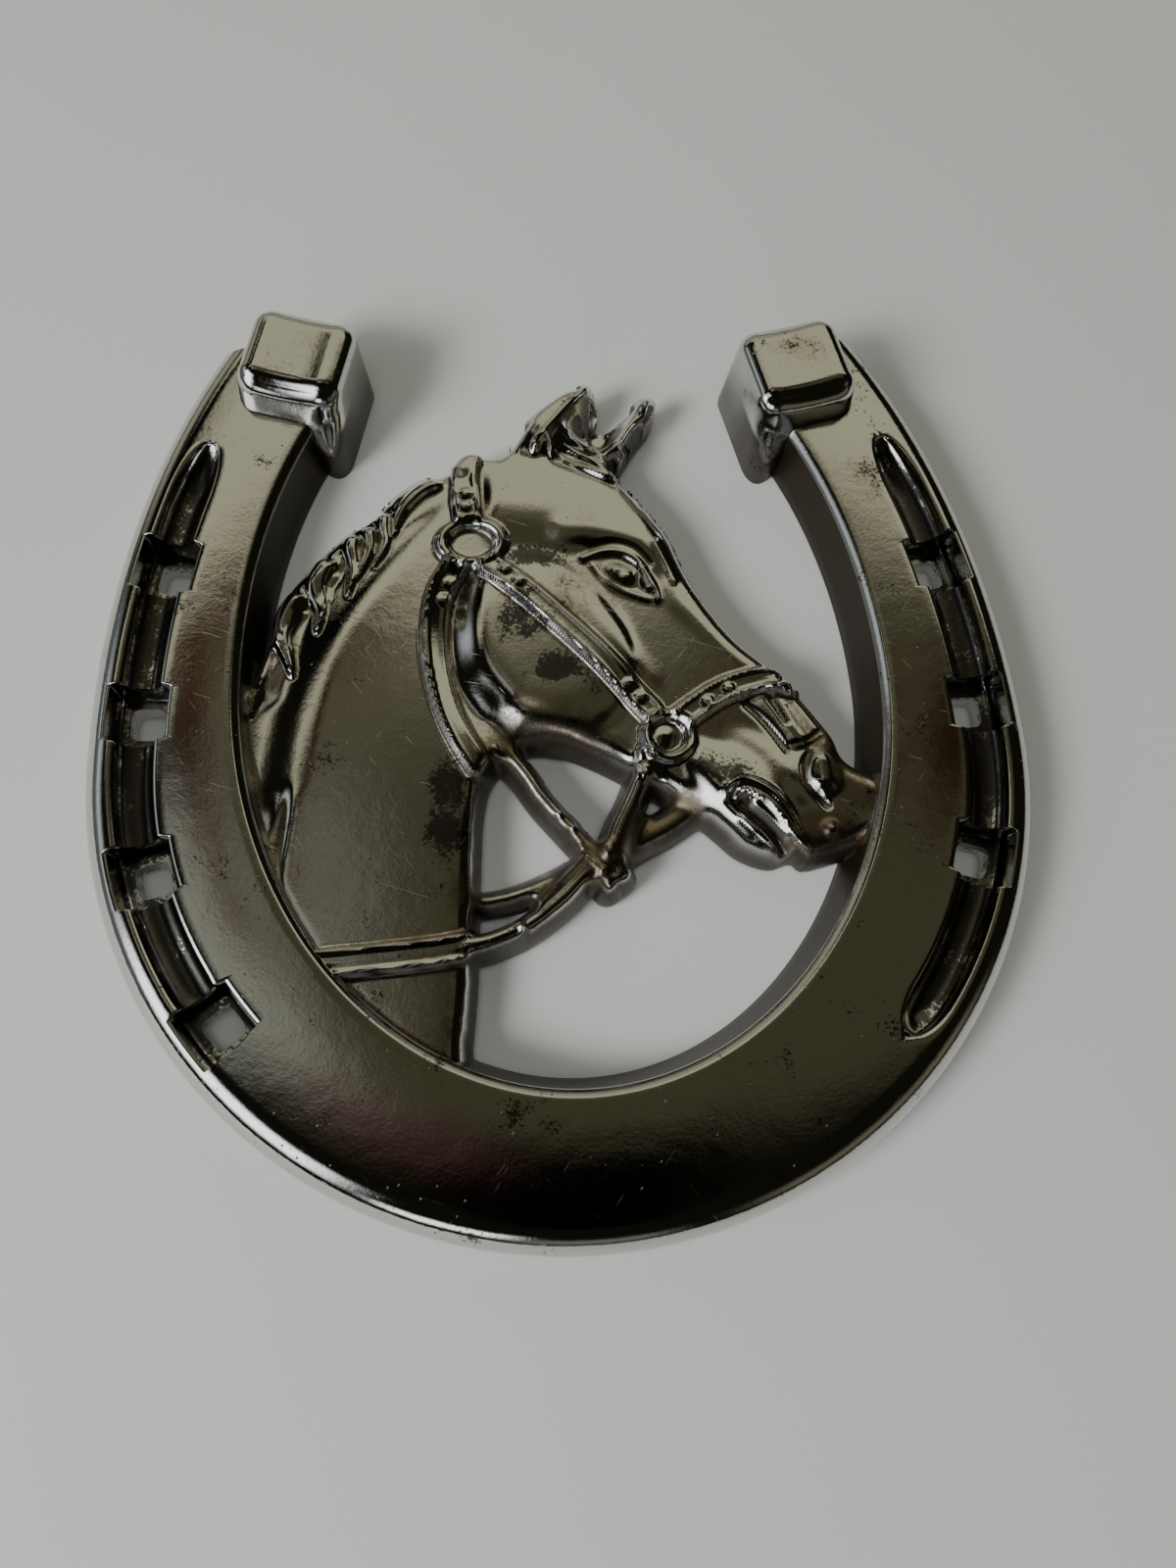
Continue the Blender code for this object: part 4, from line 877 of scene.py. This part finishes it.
def store_wear_and_shade(mesh):
    """Store how hollow and tarnished each point of the casting is, its dull skin with painted shade, and the
    painted shade in the groove with the stains.
    """
    count = len(mesh.vertices)
    place = np.zeros(count * 3)
    normal = np.zeros(count * 3)
    mesh.vertices.foreach_get("co", place)
    mesh.vertices.foreach_get("normal", normal)
    place = place.reshape(-1, 3) / MM
    normal = normal.reshape(-1, 3)
    hollow = ((blurred_places(mesh, place) - place) * normal).sum(axis=1)
    x, y, height = place.T
    y = y - SHIFT_Y
    facing_up = normal[:, 2]
    tarnish = np.zeros(count)
    for spot_x, spot_y, reach, amount in TARNISH_SPOTS:
        away = np.hypot(x - spot_x, y - spot_y)
        tarnish = np.maximum(tarnish, amount * (1.0 - smooth(TARNISH_CORE * reach, reach, away)))
    # out is 1 on the edge of the gap, and less inside it
    reach = np.where(y < GAP_CENTRE_Y, GAP_TOE_DEPTH, GAP_HEEL_REACH)
    out = np.hypot(x / GAP_HALF_WIDTH, (y - GAP_CENTRE_Y) / reach)
    # painted shade: walls facing sideways inside the gap, below the face, take the dark skin colour
    skin_and_shade = smooth(0.55, 0.3, facing_up) * smooth(9.0, 8.0, height) * (out < 1.01)
    skin_and_shade *= WALL_SKIN_AND_SHADE + (1.0 - WALL_SKIN_AND_SHADE) * smooth(0.93, 0.96, out)
    # painted shade: low tarnished slopes under the figure take the dark skin colour too
    dull_and_shaded = smooth(0.92, 0.55, facing_up) * smooth(6.5, 5.0, height)
    dull_and_shaded *= np.clip(tarnish, 0.0, 1.0) * (out < 0.97)
    skin_and_shade = np.maximum(skin_and_shade, SLOPE_SKIN_AND_SHADE * dull_and_shaded)
    block = smooth(SHOE_HEEL_Y - 14.0, SHOE_HEEL_Y - 8.0, y)
    # painted shade: the heel blocks' sides take the dark skin colour, more of it towards the table
    skin_and_shade = skin_and_shade * (1.0 - block) + HEEL_SKIN_AND_SHADE * block * smooth(0.5, 0.1, facing_up) * smooth(16.0, 3.0, height)
    # out is now 1 on the shoe's outer edge: painted shade lies in the groove, below the face and above its
    # floor
    reach = np.where(y < SHOE_CENTRE_Y, SHOE_HALF_WIDTH, SHOE_HEEL_REACH)
    out = np.hypot(x / SHOE_HALF_WIDTH, (y - SHOE_CENTRE_Y) / reach)
    groove_shade_and_stain = (smooth(8.8, 7.0, height) * smooth(2.5, 4.5, height)
             * smooth(0.97, 0.95, out) * smooth(0.79, 0.82, out))
    # the dark blotches join the groove's painted shade in one mask
    for left, low, half_width, half_height in STAINS:
        away = np.hypot((x - left) / half_width, (y - low) / half_height)
        groove_shade_and_stain = np.maximum(groove_shade_and_stain, smooth(2.0, 0.2, away))
    hollow = np.clip(hollow * HOLLOW_GAIN, -1.0, 1.0)
    for name, values in zip(WEAR_AND_SHADE, (hollow, tarnish, skin_and_shade, groove_shade_and_stain)):
        layer = mesh.attributes.new(name, "FLOAT", "POINT")
        layer.data.foreach_set("value", values.astype(np.float32))


SOFT_STEP = {"interpolation_type": "SMOOTHSTEP"}
OF_COLOURS = {"data_type": "RGBA"}


def add_node(tree, kind, settings=None, **inputs):
    """Add a node, set its properties or its operation, set or link its inputs, and return its outputs."""
    node = tree.nodes.new("ShaderNode" + kind)
    if isinstance(settings, str):
        settings = {"operation": settings}
    for name, value in (settings or {}).items():
        setattr(node, name, value)
    for name, value in inputs.items():
        key = int(name[1:]) if name[0] == "i" and name[1:].isdigit() else name.replace("_", " ")
        socket = node.inputs[key]
        if isinstance(value, bpy.types.NodeSocket):
            tree.links.new(value, socket)
        else:
            socket.default_value = value
    return node.outputs


def worn_chrome_plate(finish):
    """Bright chrome plate on a casting: a mirror with brown tarnish in its hollows, pits and scratches, and
    painted shade on its walls and in its groove.
    """
    material = bpy.data.materials.new("worn_chrome_plate")
    material.use_nodes = True
    tree = material.node_tree
    shader = tree.nodes["Principled BSDF"]
    coordinates = add_node(tree, "TexCoord")["Object"]
    in_mm = add_node(tree, "VectorMath", "SCALE", i0=coordinates, Scale=1.0 / MM)[0]
    hollow, tarnish, skin_and_shade, groove_shade_and_stain = (
        add_node(tree, "Attribute", {"attribute_name": name})["Fac"] for name in WEAR_AND_SHADE)
    # cloudy tarnish in patches about 6 mm across with a grain of 0.5 mm
    cloud = add_node(tree, "TexNoise", Vector=in_mm, Scale=0.17, Detail=6.0, Roughness=0.62)["Fac"]
    grain = add_node(tree, "TexNoise", Vector=in_mm, Scale=2.0, Detail=4.0, Roughness=0.7)["Fac"]
    base = add_node(tree, "Math", "MULTIPLY_ADD", i0=hollow, i1=0.9, i2=tarnish)[0]
    mottled = add_node(tree, "Math", "MULTIPLY_ADD", i0=grain, i1=0.7, i2=cloud)[0]
    stained = add_node(tree, "Math", "MULTIPLY_ADD", i0=base, i1=0.55, i2=mottled)[0]
    film = add_node(tree, "MapRange", SOFT_STEP, Value=stained, From_Min=0.95, From_Max=1.45)[0]
    metal = add_node(tree, "Mix", OF_COLOURS, Factor=film, i6=finish.plate_colour[:] + (1.0,),
                     i7=finish.tarnish_colour[:] + (1.0,))[2]
    # pits of about 0.25 mm where the plate has failed
    pits = add_node(tree, "TexVoronoi", Vector=in_mm, Scale=0.55, Randomness=1.0)["Distance"]
    pit = add_node(tree, "MapRange", SOFT_STEP, Value=pits, From_Min=0.04,
                   From_Max=0.09, To_Min=1.0, To_Max=0.0)[0]
    worn = add_node(tree, "Math", "MULTIPLY_ADD", i0=tarnish, i1=0.2, i2=cloud)[0]
    sparse = add_node(tree, "MapRange", Value=worn, From_Min=0.5, From_Max=0.6)[0]
    pit = add_node(tree, "Math", "MULTIPLY", i0=pit, i1=sparse)[0]
    colour = add_node(tree, "Mix", OF_COLOURS, Factor=pit, i6=metal, i7=finish.pit_and_shade_colour[:] + (1.0,))[2]
    # the casting skin: a duller finish whose dark colour is painted shade on the walls, low slopes and heel
    # sides
    colour = add_node(tree, "Mix", OF_COLOURS, Factor=skin_and_shade, i6=colour, i7=finish.skin_and_shade_colour[:] + (1.0,))[2]
    # painted shade in the groove and pockets, and the stains: a broken dark coat in the pit colour
    broken = add_node(tree, "Math", "MULTIPLY_ADD", i0=mottled, i1=3.0, i2=groove_shade_and_stain)[0]
    stain_and_shade_share = add_node(tree, "MapRange", SOFT_STEP, Value=broken, From_Min=3.0, From_Max=3.3, To_Max=0.85)[0]
    colour = add_node(tree, "Mix", OF_COLOURS, Factor=stain_and_shade_share, i6=colour, i7=finish.pit_and_shade_colour[:] + (1.0,))[2]
    tree.links.new(colour, shader.inputs["Base Color"])
    # hairline scratches, drawn 0.1 mm wide so that they show, in three directions
    scratches = None
    for turn, stretch, shift in ((0.9, 12.0, 3.0), (2.2, 9.0, 17.0), (-0.35, 14.0, 41.0)):
        turned = add_node(tree, "Mapping", {"vector_type": "TEXTURE"}, Vector=in_mm,
                          Location=(shift, shift, 0.0), Rotation=(0.0, 0.0, turn),
                          Scale=(stretch, 0.42, 5.0))[0]
        lines = add_node(tree, "TexNoise", Vector=turned, Scale=1.6, Detail=1.0, Roughness=0.5)["Fac"]
        line = add_node(tree, "MapRange", SOFT_STEP, Value=lines, From_Min=0.75, From_Max=0.8)[0]
        scratches = line if scratches is None else add_node(
            tree, "Math", "MAXIMUM", i0=scratches, i1=line)[0]
    smudge = add_node(tree, "TexNoise", Vector=in_mm, Scale=0.09, Detail=5.0, Roughness=0.6)["Fac"]
    rough = add_node(tree, "MapRange", Value=smudge, From_Min=0.35, From_Max=0.7,
                     To_Min=finish.plate_roughness, To_Max=finish.plate_roughness + 0.05)[0]
    rough = add_node(tree, "Math", "MULTIPLY_ADD", i0=film, i1=0.26, i2=rough)[0]
    rough = add_node(tree, "Math", "MULTIPLY_ADD", i0=scratches, i1=0.08, i2=rough)[0]
    rough = add_node(tree, "Mix", Factor=skin_and_shade, i2=rough, i3=0.4)[0]
    rough = add_node(tree, "Mix", Factor=stain_and_shade_share, i2=rough, i3=0.25)[0]
    tree.links.new(rough, shader.inputs["Roughness"])
    bare = add_node(tree, "MapRange", Value=skin_and_shade, To_Min=1.0, To_Max=0.6)[0]
    tree.links.new(bare, shader.inputs["Metallic"])
    # the casting's slow unevenness, 5 mm long and a few hundredths deep, then pits and scratches
    waves = add_node(tree, "TexNoise", Vector=in_mm, Scale=0.2, Detail=3.0, Roughness=0.5)["Fac"]
    bump = add_node(tree, "Bump", Strength=0.4, Distance=0.1 * MM, Height=waves)[0]
    bump = add_node(tree, "Bump", Strength=0.4, Distance=0.03 * MM, Height=grain, Normal=bump)[0]
    bump = add_node(tree, "Bump", {"invert": True}, Strength=0.6, Distance=0.1 * MM, Height=pit,
                    Normal=bump)[0]
    bump = add_node(tree, "Bump", {"invert": True}, Strength=0.3, Distance=0.02 * MM, Height=scratches,
                    Normal=bump)[0]
    tree.links.new(bump, shader.inputs["Normal"])
    return material


def pale_tabletop(settings):
    """Smooth matt laminate: an even pale grey with a faint mottle."""
    material = bpy.data.materials.new("pale_laminate")
    material.use_nodes = True
    tree = material.node_tree
    shader = tree.nodes["Principled BSDF"]
    coordinates = add_node(tree, "TexCoord")["Object"]
    mottle = add_node(tree, "TexNoise", Vector=coordinates, Scale=9.0, Detail=3.0)["Fac"]
    shade = [0.94 * part for part in settings.floor_colour]
    colour = add_node(tree, "Mix", OF_COLOURS, Factor=mottle, i6=settings.floor_colour[:] + (1.0,),
                      i7=shade + [1.0])[2]
    tree.links.new(colour, shader.inputs["Base Color"])
    shader.inputs["Roughness"].default_value = 0.5
    return material


ROOM_COLOUR = "#16160F"
LOWEST_RISE = 0.02
# Ceiling panels as the plate sees them: middle and half size on a plane 1 above the table, turn in
# degrees, softness, colour, strength
CEILING_PANELS = [
    ((0.20, 0.28), (0.42, 0.30), 0.0, 0.06, "#6A664F", 0.45),
    ((-0.02, 0.44), (0.18, 0.08), 0.0, 0.05, "#6E6B58", 0.75),
    ((0.15, 1.30), (0.95, 0.78), 7.0, 0.08, "#B5B29A", 1.1),
    ((-0.26, 0.185), (0.12, 0.135), 0.0, 0.06, "#93958A", 1.0),
    ((-0.222, 0.32), (0.026, 0.14), 12.9, 0.014, "#4A1E0A", 0.62),
    ((0.44, 0.34), (0.09, 0.06), 15.0, 0.04, "#2A160A", 0.7),
    ((0.05, -0.30), (0.14, 0.33), 0.0, 0.05, "#0A0B0A", 0.4),
    ((-0.12, 0.03), (0.09, 0.010), -12.0, 0.015, "#7A5058", 0.7),
    ((-0.10, -0.03), (0.09, 0.010), -6.0, 0.015, "#7A4F50", 0.5),
    ((-0.20, 0.475), (0.11, 0.04), 7.0, 0.02, "#3A1A0C", 0.8),
    ((-0.62, 0.86), (0.24, 0.26), 0.0, 0.06, "#0A0B0A", 0.9),
    ((0.235, 0.35), (0.03, 0.035), 30.0, 0.012, "#301208", 0.8),
]
# Windows low round the table: compass turn from +X, height, half width and half height in degrees,
# softness, colour, strength
WINDOWS = [
    (206.0, 32.0, 24.0, 15.0, 8.0, "#F2F5FA", 3.0),
    (168.0, 22.0, 18.0, 10.0, 8.0, "#E6ECF2", 0.7),
    (250.0, 20.0, 10.0, 7.0, 4.0, "#F2F5FA", 2.5),
    (100.0, 14.0, 40.0, 10.0, 8.0, "#A9A594", 0.9),
    (320.0, 16.0, 22.0, 8.0, 8.0, "#8B8672", 0.6),
    (170.0, 10.0, 24.0, 8.0, 5.0, "#9AA0A4", 0.4),
    (272.0, 12.0, 12.0, 7.0, 5.0, "#9AA0A4", 0.5),
]


def build_studio(settings):
    """A dark room with ceiling panels and low windows, given as directions, behind a plain pale backdrop."""
    world = bpy.data.worlds.new("studio")
    world.use_nodes = True
    bpy.context.scene.world = world
    tree = world.node_tree
    background = tree.nodes["Background"]
    direction = add_node(tree, "TexCoord")["Generated"]
    parts = add_node(tree, "SeparateXYZ", Vector=direction)
    up = add_node(tree, "Math", "MAXIMUM", i0=parts["Z"], i1=LOWEST_RISE)[0]
    over = add_node(tree, "Math", "DIVIDE", i0=1.0, i1=up)[0]
    plan = add_node(tree, "VectorMath", "SCALE", i0=direction, Scale=over)[0]
    flat = add_node(tree, "VectorMath", "MULTIPLY", i0=direction, i1=(1.0, 1.0, 0.0))[0]
    level = add_node(tree, "VectorMath", "NORMALIZE", i0=flat)[0]
    height = add_node(tree, "Math", "ARCSINE", i0=parts["Z"])[0]
    colour = add_node(tree, "RGB")[0]
    colour.default_value = linear(ROOM_COLOUR)

    def lay_panel(colour, across, along, sizes, soft, tint):
        """Mix a soft-edged rectangle over the colour."""
        share = None
        for value, size in zip((across, along), sizes):
            value = add_node(tree, "Math", "ABSOLUTE", i0=value)[0]
            edge = add_node(tree, "MapRange", SOFT_STEP, Value=value,
                            From_Min=size - soft, From_Max=size + soft, To_Min=1.0, To_Max=0.0)[0]
            share = edge if share is None else add_node(tree, "Math", "MULTIPLY", i0=share, i1=edge)[0]
        return add_node(tree, "Mix", OF_COLOURS, Factor=share, i6=colour, i7=tint)[2]

    for middle, sizes, turn, soft, code, strength in CEILING_PANELS:
        turned = add_node(tree, "Mapping", {"vector_type": "TEXTURE"}, Vector=plan,
                          Location=(*middle, 0.0), Rotation=(0.0, 0.0, math.radians(turn)))[0]
        sides = add_node(tree, "SeparateXYZ", Vector=turned)
        tint = [strength * part for part in linear(code)[:3]] + [1.0]
        colour = lay_panel(colour, sides["X"], sides["Y"], sizes, soft, tint)
    for turn, rise, half_width, half_height, soft, code, strength in WINDOWS:
        aim = (math.cos(math.radians(turn)), math.sin(math.radians(turn)), 0.0)
        match = add_node(tree, "VectorMath", "DOT_PRODUCT", i0=level, i1=aim)["Value"]
        across = add_node(tree, "Math", "ARCCOSINE", i0=match)[0]
        along = add_node(tree, "Math", "SUBTRACT", i0=height, i1=math.radians(rise))[0]
        tint = [strength * part for part in linear(code)[:3]] + [1.0]
        sizes = (math.radians(half_width), math.radians(half_height))
        colour = lay_panel(colour, across, along, sizes, math.radians(soft), tint)
    seen = add_node(tree, "LightPath")["Is Camera Ray"]
    colour = add_node(tree, "Mix", OF_COLOURS, Factor=seen, i6=colour,
                      i7=settings.backdrop_colour[:] + (1.0,))[2]
    tree.links.new(colour, background.inputs["Color"])
    background.inputs["Strength"].default_value = settings.studio_strength


def build_floor(settings):
    """The pale tabletop, a wide slab whose top is at height 0."""
    bm = bmesh.new()
    bmesh.ops.create_cube(bm, size=1.0)
    bmesh.ops.scale(bm, verts=bm.verts, vec=(1.6, 1.6, 0.02))
    bmesh.ops.translate(bm, verts=bm.verts, vec=(0.0, 0.0, -0.01))
    mesh = bpy.data.meshes.new("tabletop")
    bm.to_mesh(mesh)
    bm.free()
    mesh.materials.append(pale_tabletop(settings))
    floor = bpy.data.objects.new("tabletop", mesh)
    bpy.context.scene.collection.objects.link(floor)


def build_light(name, place, size, power):
    """A broad soft light, aimed at the piece. The plate mirrors the studio instead of it."""
    light = bpy.data.lights.new(name, "AREA")
    light.shape = "SQUARE"
    light.size = size
    light.energy = power
    made = bpy.data.objects.new(name, light)
    made.location = place
    made.rotation_euler = (-Vector(place)).to_track_quat("-Z", "Y").to_euler()
    made.visible_glossy = False
    bpy.context.scene.collection.objects.link(made)


def build_camera():
    """The camera at the photo's angle."""
    data = bpy.data.cameras.new("camera")
    data.lens = CAMERA_LENS
    data.clip_start = 0.005
    camera = bpy.data.objects.new("camera", data)
    place = MM * (Vector(CAMERA_PLACE) + Vector((0.0, SHIFT_Y, 0.0)))
    aim = MM * (Vector(CAMERA_AIM) + Vector((0.0, SHIFT_Y, 0.0)))
    turn = (aim - place).to_track_quat("-Z", "Y").to_matrix()
    turn = turn @ Matrix.Rotation(math.radians(CAMERA_ROLL), 3, "Z")
    camera.matrix_world = Matrix.Translation(place) @ turn.to_4x4()
    bpy.context.scene.collection.objects.link(camera)
    bpy.context.scene.camera = camera


def length_value(name, description, default):
    """A length in metres that the panel shows in the scene's own unit."""
    return bpy.props.FloatProperty(name=name, description=description, default=default, unit="LENGTH")


def colour_value(name, description, code):
    """A colour, given as an sRGB hex value."""
    return bpy.props.FloatVectorProperty(
        name=name, description=description, subtype="COLOR", default=linear(code)[:3])


def power_value(name, description, default):
    """A light's power in watts."""
    return bpy.props.FloatProperty(name=name, description=description, default=default, unit="POWER")


class HorseshoeSizes(bpy.types.PropertyGroup):
    """Sizes of the casting that a user would change."""
    groove_width: length_value("Groove width", "Width of the nail groove", 0.0054)
    groove_depth: length_value("Groove depth", "Depth of the nail groove", 0.0027)
    pocket_width: length_value("Pocket width", "Width of a nail pocket across the shoe", 0.0080)
    pocket_length: length_value("Pocket length", "Length of a nail pocket along the shoe", 0.0078)
    pocket_depth: length_value("Pocket depth", "Depth of a nail pocket", 0.0056)
    hole_width: length_value("Hole width", "Width of the square nail holes", 0.0046)
    rim_rounding: length_value("Rim rounding", "How far the rims of groove and pockets are rounded", 0.0006)
    cell: length_value("Carving cell", "Width of one cell of the figure's mesh", 0.00031)
    soften: bpy.props.IntProperty(
        name="Soften", description="How many times the figure's large forms are smoothed", default=22)


class PlateFinish(bpy.types.PropertyGroup):
    """Colours and gloss of the plate."""
    plate_colour: colour_value("Plate", "Colour of the clean chrome", "#D2D1CC")
    tarnish_colour: colour_value("Tarnish", "Colour of the tarnished plate", "#8F826E")
    # the pit colour is also that of the painted shade in the groove and pockets
    pit_and_shade_colour: colour_value("Pits", "Colour inside the pits", "#1E1A16")
    # the skin colour is painted shade on the gap's walls, the low slopes and the heel sides
    skin_and_shade_colour: colour_value("Casting skin", "Colour of the dull walls inside the gap", "#2C2318")
    plate_roughness: bpy.props.FloatProperty(
        name="Roughness", description="Roughness of the clean chrome", default=0.03, subtype="FACTOR")


class StageSettings(bpy.types.PropertyGroup):
    """Tabletop and light."""
    floor_colour: colour_value("Tabletop", "Colour of the tabletop", "#C9CBC7")
    backdrop_colour: colour_value("Backdrop", "Colour seen behind the table from a low view", "#B0B0AC")
    studio_strength: bpy.props.FloatProperty(
        name="Studio", description="Strength of the studio's panels", default=1.0)
    overhead_power: power_value("Overhead light", "Power of the soft light from above", 2.1)
    left_power: power_value("Left light", "Power of the soft light from the left", 4.1)


class HORSESHOE_OT_bar(bpy.types.Operator):
    """Model the horseshoe's bar with its groove, pockets and nail holes"""
    bl_idname = "horseshoe.bar"
    bl_label = "Shoe bar"

    def execute(self, context):
        sizes = context.scene.horseshoe_sizes
        bar = as_object(build_bar(sizes), "shoe_bar")
        combine(bar, as_object(build_punches(sizes), "punches"), "DIFFERENCE")
        return {"FINISHED"}


class HORSESHOE_OT_heels(bpy.types.Operator):
    """Model the two turned-up heels"""
    bl_idname = "horseshoe.heels"
    bl_label = "Heels"

    def execute(self, context):
        for side, name in ((-1.0, "heel_left"), (1.0, "heel_right")):
            as_object(build_heel(side), name)
        return {"FINISHED"}


class HORSESHOE_OT_figure(bpy.types.Operator):
    """Carve the horse's head and neck with mane, halter, rings and straps"""
    bl_idname = "horseshoe.figure"
    bl_label = "Horse's head"

    def execute(self, context):
        as_object(build_figure(context.scene.horseshoe_sizes), "figure")
        return {"FINISHED"}


class HORSESHOE_OT_casting(bpy.types.Operator):
    """Join bar, heels and figure into one casting and plate it"""
    bl_idname = "horseshoe.casting"
    bl_label = "Plated casting"

    def execute(self, context):
        casting = bpy.data.objects["shoe_bar"]
        for name in ("heel_left", "heel_right", "figure"):
            combine(casting, bpy.data.objects[name], "UNION")
        casting.name = "plated_casting"
        casting.data.name = "plated_casting"
        casting.data.materials.clear()
        casting.data.materials.append(worn_chrome_plate(context.scene.horseshoe_finish))
        casting.data.shade_smooth()
        casting.data.set_sharp_from_angle(angle=math.radians(50.0))
        store_wear_and_shade(casting.data)
        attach(casting, "root")
        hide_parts("horse_brass")
        return {"FINISHED"}


class HORSESHOE_OT_stage(bpy.types.Operator):
    """Set up tabletop, studio, soft light and camera"""
    bl_idname = "horseshoe.stage"
    bl_label = "Stage"

    def execute(self, context):
        settings = context.scene.horseshoe_stage
        build_studio(settings)
        build_floor(settings)
        build_light("overhead_light", (0.0, -0.1, 0.9), 0.5, settings.overhead_power)
        build_light("left_light", (-0.48, -0.26, 0.44), 0.22, settings.left_power)
        build_camera()
        return {"FINISHED"}


class HORSESHOE_PT_panel(bpy.types.Panel):
    """The ornament's operators and values"""
    bl_idname = "HORSESHOE_PT_panel"
    bl_label = "Horseshoe ornament"
    bl_space_type = "VIEW_3D"
    bl_region_type = "UI"
    bl_category = "Horseshoe"

    def draw(self, context):
        scene = context.scene
        for group in (scene.horseshoe_sizes, scene.horseshoe_finish, scene.horseshoe_stage):
            for name in group.bl_rna.properties.keys():
                if name not in ("rna_type", "name"):
                    self.layout.prop(group, name)
        for operator in OPERATORS:
            self.layout.operator(operator.bl_idname)


OPERATORS = (HORSESHOE_OT_bar, HORSESHOE_OT_heels, HORSESHOE_OT_figure, HORSESHOE_OT_casting,
             HORSESHOE_OT_stage)
GROUPS = {"horseshoe_sizes": HorseshoeSizes, "horseshoe_finish": PlateFinish,
          "horseshoe_stage": StageSettings}


def register():
    for kind in (*GROUPS.values(), *OPERATORS, HORSESHOE_PT_panel):
        bpy.utils.register_class(kind)
    for name, kind in GROUPS.items():
        setattr(bpy.types.Scene, name, bpy.props.PointerProperty(type=kind))


def unregister():
    for name in GROUPS:
        delattr(bpy.types.Scene, name)
    for kind in (HORSESHOE_PT_panel, *reversed(OPERATORS), *reversed(GROUPS.values())):
        bpy.utils.unregister_class(kind)


def main():
    register()
    bpy.ops.horseshoe.bar()
    bpy.ops.horseshoe.heels()
    bpy.ops.horseshoe.figure()
    bpy.ops.horseshoe.casting()
    bpy.ops.horseshoe.stage()


if __name__ == "__main__":
    main()
